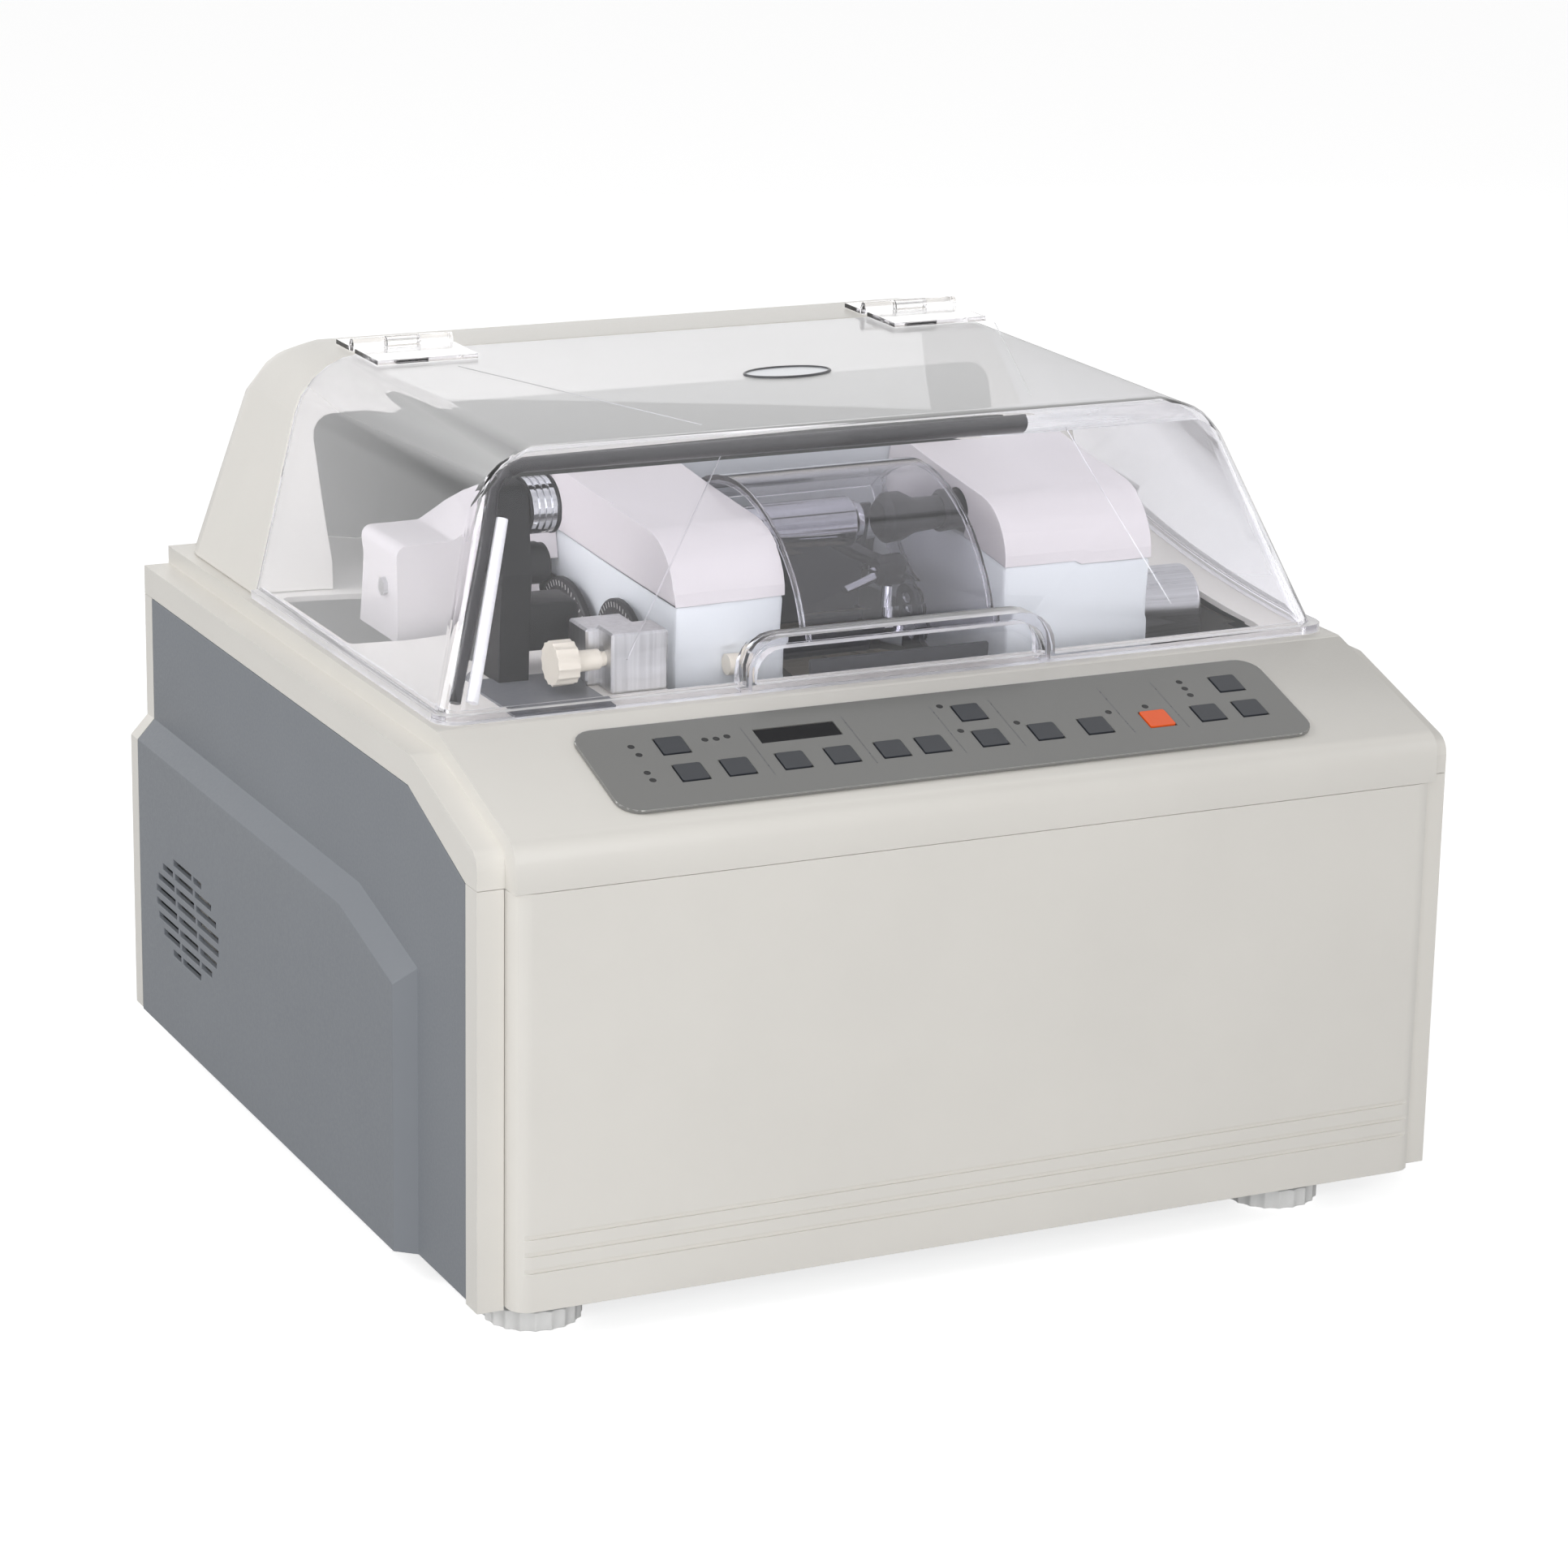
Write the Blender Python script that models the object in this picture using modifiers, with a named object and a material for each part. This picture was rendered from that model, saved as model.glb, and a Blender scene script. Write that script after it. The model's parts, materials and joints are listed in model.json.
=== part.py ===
"""Bench-top optical lens edger: a moulded cabinet with a hinged clear lid over a swinging lens carriage,
a wet grinding chamber with a belt-driven wheel stack, a pattern-reading unit and a sloped key panel.

Sizes are metres. X runs to the right, Y runs back from the front panel's face, Z runs up from that
panel's lower edge. One empty carries everything and puts the origin under the middle of the machine.
"""

from math import atan2, cos, hypot, pi, radians, sin, tan

import bmesh
import bpy
from mathutils import Matrix, Vector

# Fits that many pieces share
GAP = 0.0003
WALL = 0.003

# Cabinet
CABINET_WIDTH = 0.540
CABINET_DEPTH = 0.5127
BODY_WIDTH = CABINET_WIDTH - 0.0285
FRAME_SETBACK = 0.013
SEAM_HEIGHT = 0.213
PLATFORM_HEIGHT = SEAM_HEIGHT + 0.054
RIM_DROP = 0.010

# Pieces that keep their share of the width, and the lens axis that the working parts are set out from
ACROSS = CABINET_WIDTH / 0.540
LENS_Y = 0.205 * CABINET_DEPTH / 0.5127
LID_FRONT = LENS_Y - 0.0965
SLOPE_DEPTH = LID_FRONT - 0.0085
SLOPE_DROP = 0.030764
SLOPE_ANGLE = atan2(SLOPE_DROP, SLOPE_DEPTH)
LIP_RADIUS = 0.012
CORNER_RADIUS = 0.010
FOOT_HEIGHT = 0.016
FOOT_RADIUS = 0.025
FOOT_INSET = 0.036
TRAY_RISE = 0.022

# Side panels
PANEL_TOP = SEAM_HEIGHT + 0.028
PANEL_FRONT = 0.0280
REAR_POST = 0.012
PANEL_SHELL = 0.0104
BULGE_OUT = 0.010
BULGE_HEIGHT = 0.160
BULGE_CHAMFER = 0.011
BULGE_FRONT = 0.100
BULGE_KNEE = 0.075
BULGE_KNEE_DROP = 0.019
VENT_DEPTH_RADIUS = 0.055
VENT_HEIGHT_RADIUS = 0.0305
VENT_CENTRE_Y = CABINET_DEPTH - 0.0947
VENT_CENTRE_Z = 0.078
VENT_ROWS = 8
VENT_SLOT = 0.0036
VENT_BAR = 0.003

# Lid and hood, one section
HOOD_HEIGHT = PLATFORM_HEIGHT + 0.1215
HOOD_BASE_HALF = CABINET_WIDTH / 2 - 0.0205
HOOD_TOP_HALF = HOOD_BASE_HALF - 0.043
HOOD_RADIUS = 0.030
SEAM_BASE_Y = LENS_Y + 0.180
SEAM_TOP_Y = SEAM_BASE_Y + 0.274 * (CABINET_DEPTH - SEAM_BASE_Y)
HOOD_REAR_RADIUS = 0.56 * (CABINET_DEPTH - SEAM_TOP_Y)
LID_TOP_FRONT = LENS_Y - 0.045
LID_SEAM_GAP = 0.002
LID_FRONT_RADIUS = 0.012
FLANGE_REACH = 0.003
FLANGE_HEIGHT = 0.0045
FLANGE_DEPTH = 0.009
HANDLE_HALF = 0.088
HANDLE_HEIGHT = 0.028
HANDLE_BAND = 0.006
HANDLE_RADIUS = 0.020
HOOD_WINDOW_HALF = HOOD_TOP_HALF - 0.0015
HOOD_WINDOW_TOP = HOOD_HEIGHT - 0.0315
HINGE_CENTRES = (-0.150 * ACROSS, 0.160 * ACROSS)
HINGE_WIDTH = 0.058 * ACROSS
HINGE_LEAF = 0.040
HINGE_THICKNESS = 0.0025
HINGE_KNUCKLE = 0.0035
HINGE_PIN = 0.0015

# Lens carriage
HEAD_FRONT = LENS_Y - 0.056
HEAD_REAR = LENS_Y + 0.085
HEAD_BOTTOM = PLATFORM_HEIGHT - 0.027
HEAD_SEAM = PLATFORM_HEIGHT + 0.0365
HEAD_TOP = PLATFORM_HEIGHT + 0.068
HEAD_RADIUS = 0.036
LEFT_HEAD = (-0.108 * ACROSS, -0.046 * ACROSS)
RIGHT_HEAD = (0.082 * ACROSS, 0.168 * ACROSS)
BRIDGE_TOP = HEAD_TOP - 0.0015
BRIDGE_BOTTOM = PLATFORM_HEIGHT + 0.009
WING_LEFT = -0.207 * ACROSS
WING_STEP = (-0.174 * ACROSS, -0.129 * ACROSS)
WING_FRONT = HEAD_REAR - 0.007
WING_REAR = HEAD_REAR + 0.048
WING_BOTTOM = PLATFORM_HEIGHT - 0.005
WING_SHOULDER = PLATFORM_HEIGHT + 0.047
PIVOT_Y = LENS_Y + 0.153
PIVOT_Z = PLATFORM_HEIGHT + 0.025
PIVOT_RADIUS = 0.008
LUG_WIDTH = 0.010
OPENING_MARGIN = 0.004
LENS_Z = PLATFORM_HEIGHT + 0.051
LENS_SHAFT_RADIUS = 0.009
CHUCK_RADIUS = 0.013
LENS_GAP = (0.024 * ACROSS, 0.036 * ACROSS)
CLAMP_MOTOR_RADIUS = 0.0205
CLAMP_MOTOR_LENGTH = 0.048
CLAMP_MOTOR_Y = LENS_Y - 0.015
CLAMP_MOTOR_Z = PLATFORM_HEIGHT - 0.0065
DIAL_RADIUS = 0.0285
SIZE_DIAL = (LEFT_HEAD[0] - 0.004, LENS_Y - 0.004, PLATFORM_HEIGHT - 0.0025)
BEVEL_DIAL = (LEFT_HEAD[0] - 0.004, LENS_Y + 0.0595, PLATFORM_HEIGHT - 0.0103)

# Splash visor, turning on two ears of the chamber
VISOR_Y = LENS_Y
VISOR_Z = PLATFORM_HEIGHT - 0.002
VISOR_RIGHT = RIGHT_HEAD[0] - 0.018
VISOR_RADIUS = 0.0800
VISOR_WALL = 0.0025
VISOR_RIB = 0.0045
VISOR_FRONT = radians(165)
VISOR_REAR = radians(40)
VISOR_PIN_RADIUS = 0.004
VISOR_ARM = 0.002
VISOR_PLAY = 0.0015
VISOR_EAR = 0.010

# Grinding chamber and drive
WHEEL_Y = LENS_Y
WHEEL_Z = PLATFORM_HEIGHT - 0.062
WHEEL_RADIUS = 0.050
WHEEL_WIDTHS = (0.030, 0.020, 0.018)
SPINDLE_RADIUS = 0.008
CHAMBER_LEFT = LEFT_HEAD[1] + 0.0010 + VISOR_ARM + VISOR_PLAY
CHAMBER_RIGHT = VISOR_RIGHT - VISOR_ARM - VISOR_PLAY
CHAMBER_FRONT = WHEEL_Y - 0.077
CHAMBER_REAR = WHEEL_Y + 0.055
CHAMBER_BOTTOM = PLATFORM_HEIGHT - 0.121
CHAMBER_TOP = PLATFORM_HEIGHT + 0.001
CHAMBER_BACK_TOP = PLATFORM_HEIGHT + 0.041
BEARING_RADIUS = 0.018
BEARING_LENGTH = 0.012
PULLEY_WIDTH = 0.014
SPINDLE_PULLEY = 0.020
MOTOR_PULLEY = 0.030
MOTOR_Y = WHEEL_Y + 0.140
MOTOR_Z = 0.062
MOTOR_RADIUS = 0.046
MOTOR_LENGTH = 0.130
BELT = 0.0025

# Control face
PANEL_CENTRE = (-0.001, 0.497 * SLOPE_DEPTH)
PANEL_SIZE = (0.3865 * ACROSS, 0.700 * SLOPE_DEPTH)
PANEL_RADIUS = 0.012
PANEL_THICKNESS = 0.0020
KEY_SIZE = 0.145 * SLOPE_DEPTH
KEY_THICKNESS = 0.0020
KEY_SEAT = 0.0009
KEY_CLEARANCE = 0.0004
KEY_FRONT_ROW = 0.413 * SLOPE_DEPTH
KEY_REAR_ROW = 0.645 * SLOPE_DEPTH
KEYS_FRONT = (-0.147, -0.122, -0.092, -0.0655, -0.038, -0.0155, 0.0168, 0.0482, 0.0768, 0.1125, 0.1424,
              0.1668)
KEYS_REAR = (-0.147, 0.0168, 0.1663)
START_KEY = 10
DISPLAY_CENTRE = (-0.079 * ACROSS, 0.643 * SLOPE_DEPTH)
DISPLAY_SIZE = (0.0435 * ACROSS, 0.120 * SLOPE_DEPTH)

SLOPE_FOOT = PLATFORM_HEIGHT - SLOPE_DROP
RIM_HEIGHT = PLATFORM_HEIGHT - RIM_DROP
HALF_CABINET = CABINET_WIDTH / 2
HALF_BODY = BODY_WIDTH / 2
FRAME_INNER = HALF_BODY + GAP

for old in list(bpy.data.objects):
    bpy.data.objects.remove(old, do_unlink=True)

parts = bpy.data.collections.new("lens_edger")
helpers = bpy.data.collections.new("cutters")
bpy.context.scene.collection.children.link(parts)
bpy.context.scene.collection.children.link(helpers)

datum = bpy.data.objects.new("machine_datum", None)
datum.location = (0, -CABINET_DEPTH / 2, FOOT_HEIGHT)
parts.objects.link(datum)

control_face = bpy.data.objects.new("control_face", None)
control_face.parent = datum
control_face.location = (0, 0, SLOPE_FOOT)
control_face.rotation_euler = (SLOPE_ANGLE, 0, 0)
parts.objects.link(control_face)


def material(name, colour, roughness, metallic=0.0, alpha=1.0):
    """A Principled material, made once for each finish."""
    made = bpy.data.materials.new(name)
    made.use_nodes = True
    shader = made.node_tree.nodes["Principled BSDF"]
    shader.inputs["Base Color"].default_value = (*colour, 1)
    shader.inputs["Roughness"].default_value = roughness
    shader.inputs["Metallic"].default_value = metallic
    shader.inputs["Alpha"].default_value = alpha
    made.diffuse_color = (*colour, alpha)
    return made


SHELL = material("warm white moulding", (0.72, 0.70, 0.67), 0.45)
SIDE_GREY = material("blue grey moulding", (0.23, 0.25, 0.27), 0.5)
STEEL_SHEET = material("grey painted sheet", (0.45, 0.46, 0.47), 0.5)
CLEAR = material("clear acrylic", (0.9, 0.92, 0.94), 0.05, alpha=0.3)
SMOKED = material("smoked acrylic", (0.6, 0.6, 0.66), 0.06, alpha=0.4)
MEMBRANE = material("grey membrane", (0.22, 0.22, 0.21), 0.35)
KEY_DARK = material("dark key print", (0.07, 0.075, 0.085), 0.4)
KEY_ORANGE = material("orange key print", (1.0, 0.15, 0.03), 0.4)
WINDOW_DARK = material("dark display window", (0.025, 0.025, 0.03), 0.15)
HEAD_WHITE = material("gloss white moulding", (0.82, 0.81, 0.83), 0.25)
HEAD_GREY = material("cast carriage paint", (0.66, 0.69, 0.72), 0.35)
CHROME = material("polished chrome", (0.8, 0.8, 0.8), 0.08, 1.0)
STAINLESS = material("brushed stainless", (0.6, 0.61, 0.62), 0.3, 1.0)
ALUMINIUM = material("brushed aluminium", (0.75, 0.75, 0.76), 0.35, 1.0)
BLACK_METAL = material("black coated metal", (0.02, 0.02, 0.022), 0.4)
BLACK_PLASTIC = material("black plastic", (0.03, 0.03, 0.032), 0.5)
RUBBER = material("black rubber", (0.02, 0.02, 0.02), 0.8)
IVORY = material("ivory plastic", (0.78, 0.72, 0.6), 0.45)
DIAMOND = material("diamond wheel", (0.35, 0.3, 0.22), 0.7, 0.6)
FOOT_WHITE = material("white foot plastic", (0.8, 0.8, 0.8), 0.4)


def arc(centre, radius, start, end, steps):
    """Points along an arc, both ends included."""
    angles = [start + (end - start) * step / steps for step in range(steps + 1)]
    return [(centre[0] + radius * cos(a), centre[1] + radius * sin(a)) for a in angles]


def rounded(corners, steps=4):
    """A closed outline from (u, v) or (u, v, radius) corners."""
    points = []
    for index, corner in enumerate(corners):
        here = Vector(corner[:2])
        radius = corner[2] if len(corner) == 3 else 0
        if radius <= 0:
            points.append(tuple(here))
            continue
        before = (Vector(corners[index - 1][:2]) - here).normalized()
        after = (Vector(corners[(index + 1) % len(corners)][:2]) - here).normalized()
        half = before.angle(after) / 2
        centre = here + (before + after).normalized() * radius / sin(half)
        first = here + before * radius / tan(half) - centre
        sweep = pi - 2 * half
        turn = 1 if before.cross(after) < 0 else -1
        begin = atan2(first.y, first.x)
        points += arc(centre, radius, begin, begin + turn * sweep, steps)
    return points


def rectangle(centre, size, radius=0.0):
    """The four corners of a rectangle, for rounded()."""
    half_u, half_v = size[0] / 2, size[1] / 2
    signs = ((-1, -1), (1, -1), (1, 1), (-1, 1))
    return [(centre[0] + u * half_u, centre[1] + v * half_v, radius) for u, v in signs]


def ellipse(centre, radii, steps):
    """A closed ellipse."""
    turns = [2 * pi * step / steps for step in range(steps)]
    return [(centre[0] + radii[0] * cos(a), centre[1] + radii[1] * sin(a)) for a in turns]


def mesh_from(bm, name):
    mesh = bpy.data.meshes.new(name)
    bm.to_mesh(mesh)
    bm.free()
    return mesh


def place(name, mesh, finish, origin=(0, 0, 0), parent=None):
    """Adds a named piece; a piece with no finish is a cutter or a helper."""
    piece = bpy.data.objects.new(name, mesh)
    piece.parent = parent or datum
    piece.location = origin
    if finish is None:
        helpers.objects.link(piece)
        piece.hide_render = True
        piece.display_type = "WIRE"
    else:
        parts.objects.link(piece)
        mesh.materials.append(finish)
    return piece


def block(name, low, high, finish=None, origin=(0, 0, 0), parent=None):
    """A box between two corners."""
    bm = bmesh.new()
    bmesh.ops.create_cube(bm, size=1)
    size = Vector(high) - Vector(low)
    middle = (Vector(high) + Vector(low)) / 2 - Vector(origin)
    bmesh.ops.scale(bm, vec=size, verts=bm.verts)
    bmesh.ops.translate(bm, vec=middle, verts=bm.verts)
    return place(name, mesh_from(bm, name), finish, origin, parent)


ALONG = {
    "x": Matrix(((0, 0, 1), (1, 0, 0), (0, 1, 0))),
    "y": Matrix(((1, 0, 0), (0, 0, -1), (0, 1, 0))),
    "z": Matrix.Identity(3),
}


def prism(name, outlines, axis, start, end, finish=None, origin=(0, 0, 0), parent=None):
    """A flat outline, or an outline with holes, extruded along an axis.

    Along x the outline is (y, z), along y it is (x, z), along z it is (x, y).
    """
    curve = bpy.data.curves.new(name, "CURVE")
    curve.dimensions = "2D"
    curve.fill_mode = "BOTH"
    curve.extrude = (end - start) / 2
    for outline in outlines:
        spline = curve.splines.new("POLY")
        spline.points.add(len(outline) - 1)
        for point, (u, v) in zip(spline.points, outline):
            point.co = (u, v, 0, 1)
        spline.use_cyclic_u = True
    drawn = bpy.data.objects.new(name + "_outline", curve)
    helpers.objects.link(drawn)
    graph = bpy.context.evaluated_depsgraph_get()
    mesh = bpy.data.meshes.new_from_object(drawn.evaluated_get(graph))
    bpy.data.objects.remove(drawn)
    bm = bmesh.new()
    bm.from_mesh(mesh)
    bmesh.ops.remove_doubles(bm, verts=bm.verts, dist=1e-6)
    bmesh.ops.recalc_face_normals(bm, faces=bm.faces)
    middle = (start + end) / 2 * (-1 if axis == "y" else 1)
    bmesh.ops.translate(bm, vec=(0, 0, middle), verts=bm.verts)
    bmesh.ops.transform(bm, matrix=ALONG[axis].to_4x4(), verts=bm.verts)
    bmesh.ops.translate(bm, vec=-Vector(origin), verts=bm.verts)
    bpy.data.meshes.remove(mesh)
    return place(name, mesh_from(bm, name), finish, origin, parent)


TURNED = {"x": (0, pi / 2, 0), "y": (-pi / 2, 0, 0), "z": (0, 0, 0)}


def turned(name, profile, axis, centre, finish=None, steps=24, parent=None):
    """A profile of (distance along the axis, radius) pairs turned about the axis through centre."""
    bm = bmesh.new()
    rings = [(profile[0][0], 0.0)] + list(profile) + [(profile[-1][0], 0.0)]
    points = [bm.verts.new((radius, 0, along)) for along, radius in reversed(rings)]
    for first, second in zip(points, points[1:]):
        if (first.co - second.co).length > 1e-7:
            bm.edges.new((first, second))
    piece = place(name, mesh_from(bm, name), finish, centre, parent)
    piece.rotation_euler = TURNED[axis]
    screw = piece.modifiers.new("turn", "SCREW")
    screw.steps = steps
    screw.render_steps = steps
    screw.use_merge_vertices = True
    screw.merge_threshold = 0.00001
    screw.use_smooth_shade = False
    return piece


def combine(piece, other, operation, solver="EXACT"):
    change = piece.modifiers.new(other.name, "BOOLEAN")
    change.operation = operation
    change.object = other
    change.solver = solver
    return piece


def cut(piece, *others, solver="EXACT"):
    for other in others:
        combine(piece, other, "DIFFERENCE", solver)
    return piece


def join(piece, *others):
    for other in others:
        combine(piece, other, "UNION")
    return piece


def bevel(piece, width, segments=2, angle=40):
    """Rounds every edge sharper than the angle."""
    rounding = piece.modifiers.new("rounding", "BEVEL")
    rounding.width = width
    rounding.segments = segments
    rounding.limit_method = "ANGLE"
    rounding.angle_limit = radians(angle)
    return piece


def slope_height(distance):
    """Height of the control slope at a distance back from the front."""
    return SLOPE_FOOT + distance * tan(SLOPE_ANGLE)


def knobbed(radius, depth, teeth, finer=4):
    """A fluted outline for a knob or a foot."""
    steps = teeth * finer
    turns = [2 * pi * step / steps for step in range(steps)]
    return [(radius - depth / 2 * (1 - cos(teeth * a))) * Vector((cos(a), sin(a))) for a in turns]


# Base tray: folded sheet floor with an upstand
def base_tray():
    half = HALF_BODY - WALL - GAP
    front = WALL + GAP
    rear = CABINET_DEPTH - 0.009
    corner = CORNER_RADIUS - WALL
    outlines = []
    for inset in (0, WALL):
        outlines.append(rounded([
            (-half + inset, front + inset, corner),
            (half - inset, front + inset, corner),
            (half - inset, rear - inset, 0.002),
            (-half + inset, rear - inset, 0.002),
        ], 3))
    tray = prism("base_tray", outlines[:1], "z", 0, TRAY_RISE, STEEL_SHEET)
    cut(tray, prism("tray_inside", outlines[1:], "z", WALL, TRAY_RISE + WALL))


# Front panel: a U of moulding with three shallow grooves
def front_panel():
    half = HALF_BODY
    back = 0.026
    inner = CORNER_RADIUS - WALL
    corners = [
        (-half, back),
        (-half, 0, CORNER_RADIUS),
        (half, 0, CORNER_RADIUS),
        (half, back),
        (half - WALL, back),
        (half - WALL, WALL, inner),
        (-half + WALL, WALL, inner),
        (-half + WALL, back),
    ]
    panel = prism("front_panel", [rounded(corners)], "z", 0, SEAM_HEIGHT - GAP, SHELL)
    groove_half = half - 0.003
    for index in range(3):
        low = 0.0200 + 0.0088 * index
        groove = (-groove_half, -WALL, low), (groove_half, 0.0012, low + 0.0022)
        cut(panel, block(f"front_groove_{index}", *groove))


def skirt_line(offset=0.0):
    """Lower edge of the top moulding at the sides, from the rear to the front, as (y, z)."""
    return [
        (CABINET_DEPTH, PANEL_TOP + offset),
        (SLOPE_DEPTH + 0.003, PANEL_TOP + offset),
        (PANEL_FRONT - 0.0005, SEAM_HEIGHT + offset),
    ]


# Fan shroud on the left frame's web: a square tube, with a bar across its inner end for the hub
FAN_RADIUS = 0.026
FAN_SHAFT_RADIUS = 0.003
FAN_SETBACK = 0.0120
SHROUD_DEPTH = 0.027


def fan_shroud():
    low, high = -FRAME_INNER - 0.001, -FRAME_INNER + SHROUD_DEPTH
    centre = VENT_CENTRE_Y, VENT_CENTRE_Z
    square = rounded(rectangle(centre, (0.064, 0.064), 0.006))
    hole = ellipse(centre, (FAN_RADIUS + 0.002,) * 2, 28)
    tube = prism("shroud_tube", [square, hole], "x", low, high)
    bar = block("shroud_bar", (high - WALL, VENT_CENTRE_Y - 0.030, VENT_CENTRE_Z - 0.005),
                (high, VENT_CENTRE_Y + 0.030, VENT_CENTRE_Z + 0.005))
    bore = turned("shroud_bore", [(-0.01, FAN_SHAFT_RADIUS + GAP), (0.01, FAN_SHAFT_RADIUS + GAP)], "x",
                  (high, *centre), steps=20)
    return tube, cut(bar, bore)


# Side frames: front corner strip, rear post and a web that the grey panel is screwed to
def bulge_outline(grow):
    """Outline of the side bulge, (y, z), grown by a distance above and in front."""
    knee = BULGE_FRONT + BULGE_KNEE
    return [
        (CABINET_DEPTH + 0.02, BULGE_HEIGHT + grow),
        (knee - grow * 0.3, BULGE_HEIGHT + grow),
        (BULGE_FRONT - grow * 0.8, BULGE_HEIGHT - BULGE_KNEE_DROP + grow * 0.9),
        (BULGE_FRONT - grow * 0.8, -0.02),
        (CABINET_DEPTH + 0.02, -0.02),
    ]


def bulge_solid(name, side, inset=0.0):
    """The bulge with its chamfered border, as a loft from the foot outline to the crest outline."""
    bm = bmesh.new()
    foot = [bm.verts.new((side * (HALF_CABINET - 0.004 - inset), y, z)) for y, z in bulge_outline(
        BULGE_CHAMFER * 1.4 - inset)]
    crest = [bm.verts.new((side * (HALF_CABINET + BULGE_OUT - inset), y, z)) for y, z in bulge_outline(
        -inset)]
    bm.faces.new(foot)
    bm.faces.new(crest)
    for index in range(len(foot)):
        after = (index + 1) % len(foot)
        bm.faces.new((foot[index], foot[after], crest[after], crest[index]))
    bmesh.ops.recalc_face_normals(bm, faces=bm.faces)
    return place(name, mesh_from(bm, name), None)


def side_frame(label, side):
    outline = [(FRAME_SETBACK, -0.002), (FRAME_SETBACK, SEAM_HEIGHT - GAP)]
    outline += [(y, z) for y, z in reversed(skirt_line(-GAP))]
    outline += [(CABINET_DEPTH, -0.002)]
    ends = sorted((side * FRAME_INNER, side * HALF_CABINET))
    frame = prism(label + "_side_frame", [outline], "x", *ends, SHELL)
    post = bulge_solid(label + "_post_bulge", side)
    rear = CABINET_DEPTH - REAR_POST
    keep = sorted((side * (HALF_CABINET - 0.008), side * (HALF_CABINET + 0.05)))
    combine(post, block(label + "_post_keep", (keep[0], rear - 0.001, 0.001),
                        (keep[1], CABINET_DEPTH - 0.0005, 0.3)),
            "INTERSECT")
    web = FRAME_INNER + WALL
    pocket_x = sorted((side * web, side * (HALF_CABINET + 0.03)))
    pocket = block(label + "_pocket", (pocket_x[0], PANEL_FRONT - GAP, -0.02),
                   (pocket_x[1], rear, PANEL_TOP + 0.05))
    join(frame, post)
    cut(frame, pocket)
    window_x = sorted((side * (FRAME_INNER - 0.05), side * (web + 0.001)))
    if side < 0:
        join(frame, *fan_shroud())
        air = [ellipse((VENT_CENTRE_Y, VENT_CENTRE_Z), (FAN_RADIUS + 0.001,) * 2, 28)]
        window_x = -web - 0.001, -FRAME_INNER + 0.005
    else:
        air = [rounded(rectangle((VENT_CENTRE_Y, VENT_CENTRE_Z), (2 * VENT_DEPTH_RADIUS, 0.067), 0.006))]
    cut(frame, prism(label + "_window", air, "x", *window_x))


# Side panels: grey shells with a chamfered bulge and a louvred vent
def side_panel(label, side):
    web = FRAME_INNER + WALL + GAP
    rear = CABINET_DEPTH - REAR_POST - GAP
    top = PANEL_TOP - GAP
    outline = [
        (PANEL_FRONT, 0),
        (PANEL_FRONT, SEAM_HEIGHT - 0.001),
        (SLOPE_DEPTH + 0.003, top - 0.0003),
        (rear, top - 0.0003),
        (rear, 0),
    ]
    ends = sorted((side * web, side * HALF_CABINET))
    panel = prism(label + "_side_panel", [outline], "x", *ends, SIDE_GREY)
    bulge = bulge_solid(label + "_bulge", side)
    keep = sorted((side * (HALF_CABINET - 0.008), side * (HALF_CABINET + 0.05)))
    combine(bulge, block(label + "_bulge_keep", (keep[0], 0.03, 0), (keep[1], rear, 0.3)), "INTERSECT")
    join(panel, bulge)
    hollow_x = sorted((side * (web - 0.01), side * (HALF_CABINET - WALL)))
    inner = 0.004
    hollow_outline = [
        (PANEL_FRONT + inner, inner),
        (PANEL_FRONT + inner, SEAM_HEIGHT - 0.010),
        (SLOPE_DEPTH + 0.003, PANEL_TOP - inner - 0.004),
        (rear - inner, PANEL_TOP - inner - 0.004),
        (rear - inner, inner),
    ]
    hollow = prism(label + "_panel_hollow", [hollow_outline], "x", *hollow_x)
    recess = bulge_solid(label + "_bulge_hollow", side, WALL)
    combine(recess, block(label + "_recess_keep", (keep[0] - 0.02, 0.05, inner),
                          (keep[1] + 0.02, rear - inner, 0.3)), "INTERSECT")
    cut(panel, hollow, recess)
    vent_x = sorted((side * (HALF_CABINET + BULGE_OUT - WALL - 0.004), side * (HALF_CABINET + 0.03)))
    pitch = 2 * VENT_HEIGHT_RADIUS / VENT_ROWS
    for row in range(VENT_ROWS):
        offset = (row + 0.5) * pitch - VENT_HEIGHT_RADIUS
        half = VENT_DEPTH_RADIUS * (1 - (offset / VENT_HEIGHT_RADIUS) ** 2) ** 0.5
        thirds = [-half, -0.017 + 0.002 * row - 0.007, 0.017 + 0.002 * row - 0.007, half]
        for piece, (front, back) in enumerate(zip(thirds, thirds[1:])):
            if back - front < VENT_BAR * 2:
                continue
            low = VENT_CENTRE_Z + offset - VENT_SLOT / 2
            slot = (vent_x[0], VENT_CENTRE_Y + front + VENT_BAR / 2, low), (
                vent_x[1], VENT_CENTRE_Y + back - VENT_BAR / 2, low + VENT_SLOT)
            cut(panel, block(f"{label}_slot_{row}_{piece}", *slot))


# Rear panel: a flat sheet with the inlet module and the hose spigots
INLET_CENTRE = (0.165 * ACROSS, 0.060)
INLET_SIZE = (0.052, 0.060)
SPIGOTS = ((-0.150 * ACROSS, 0.060), (-0.110 * ACROSS, 0.045))
SPIGOT_RADIUS = 0.008


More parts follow.
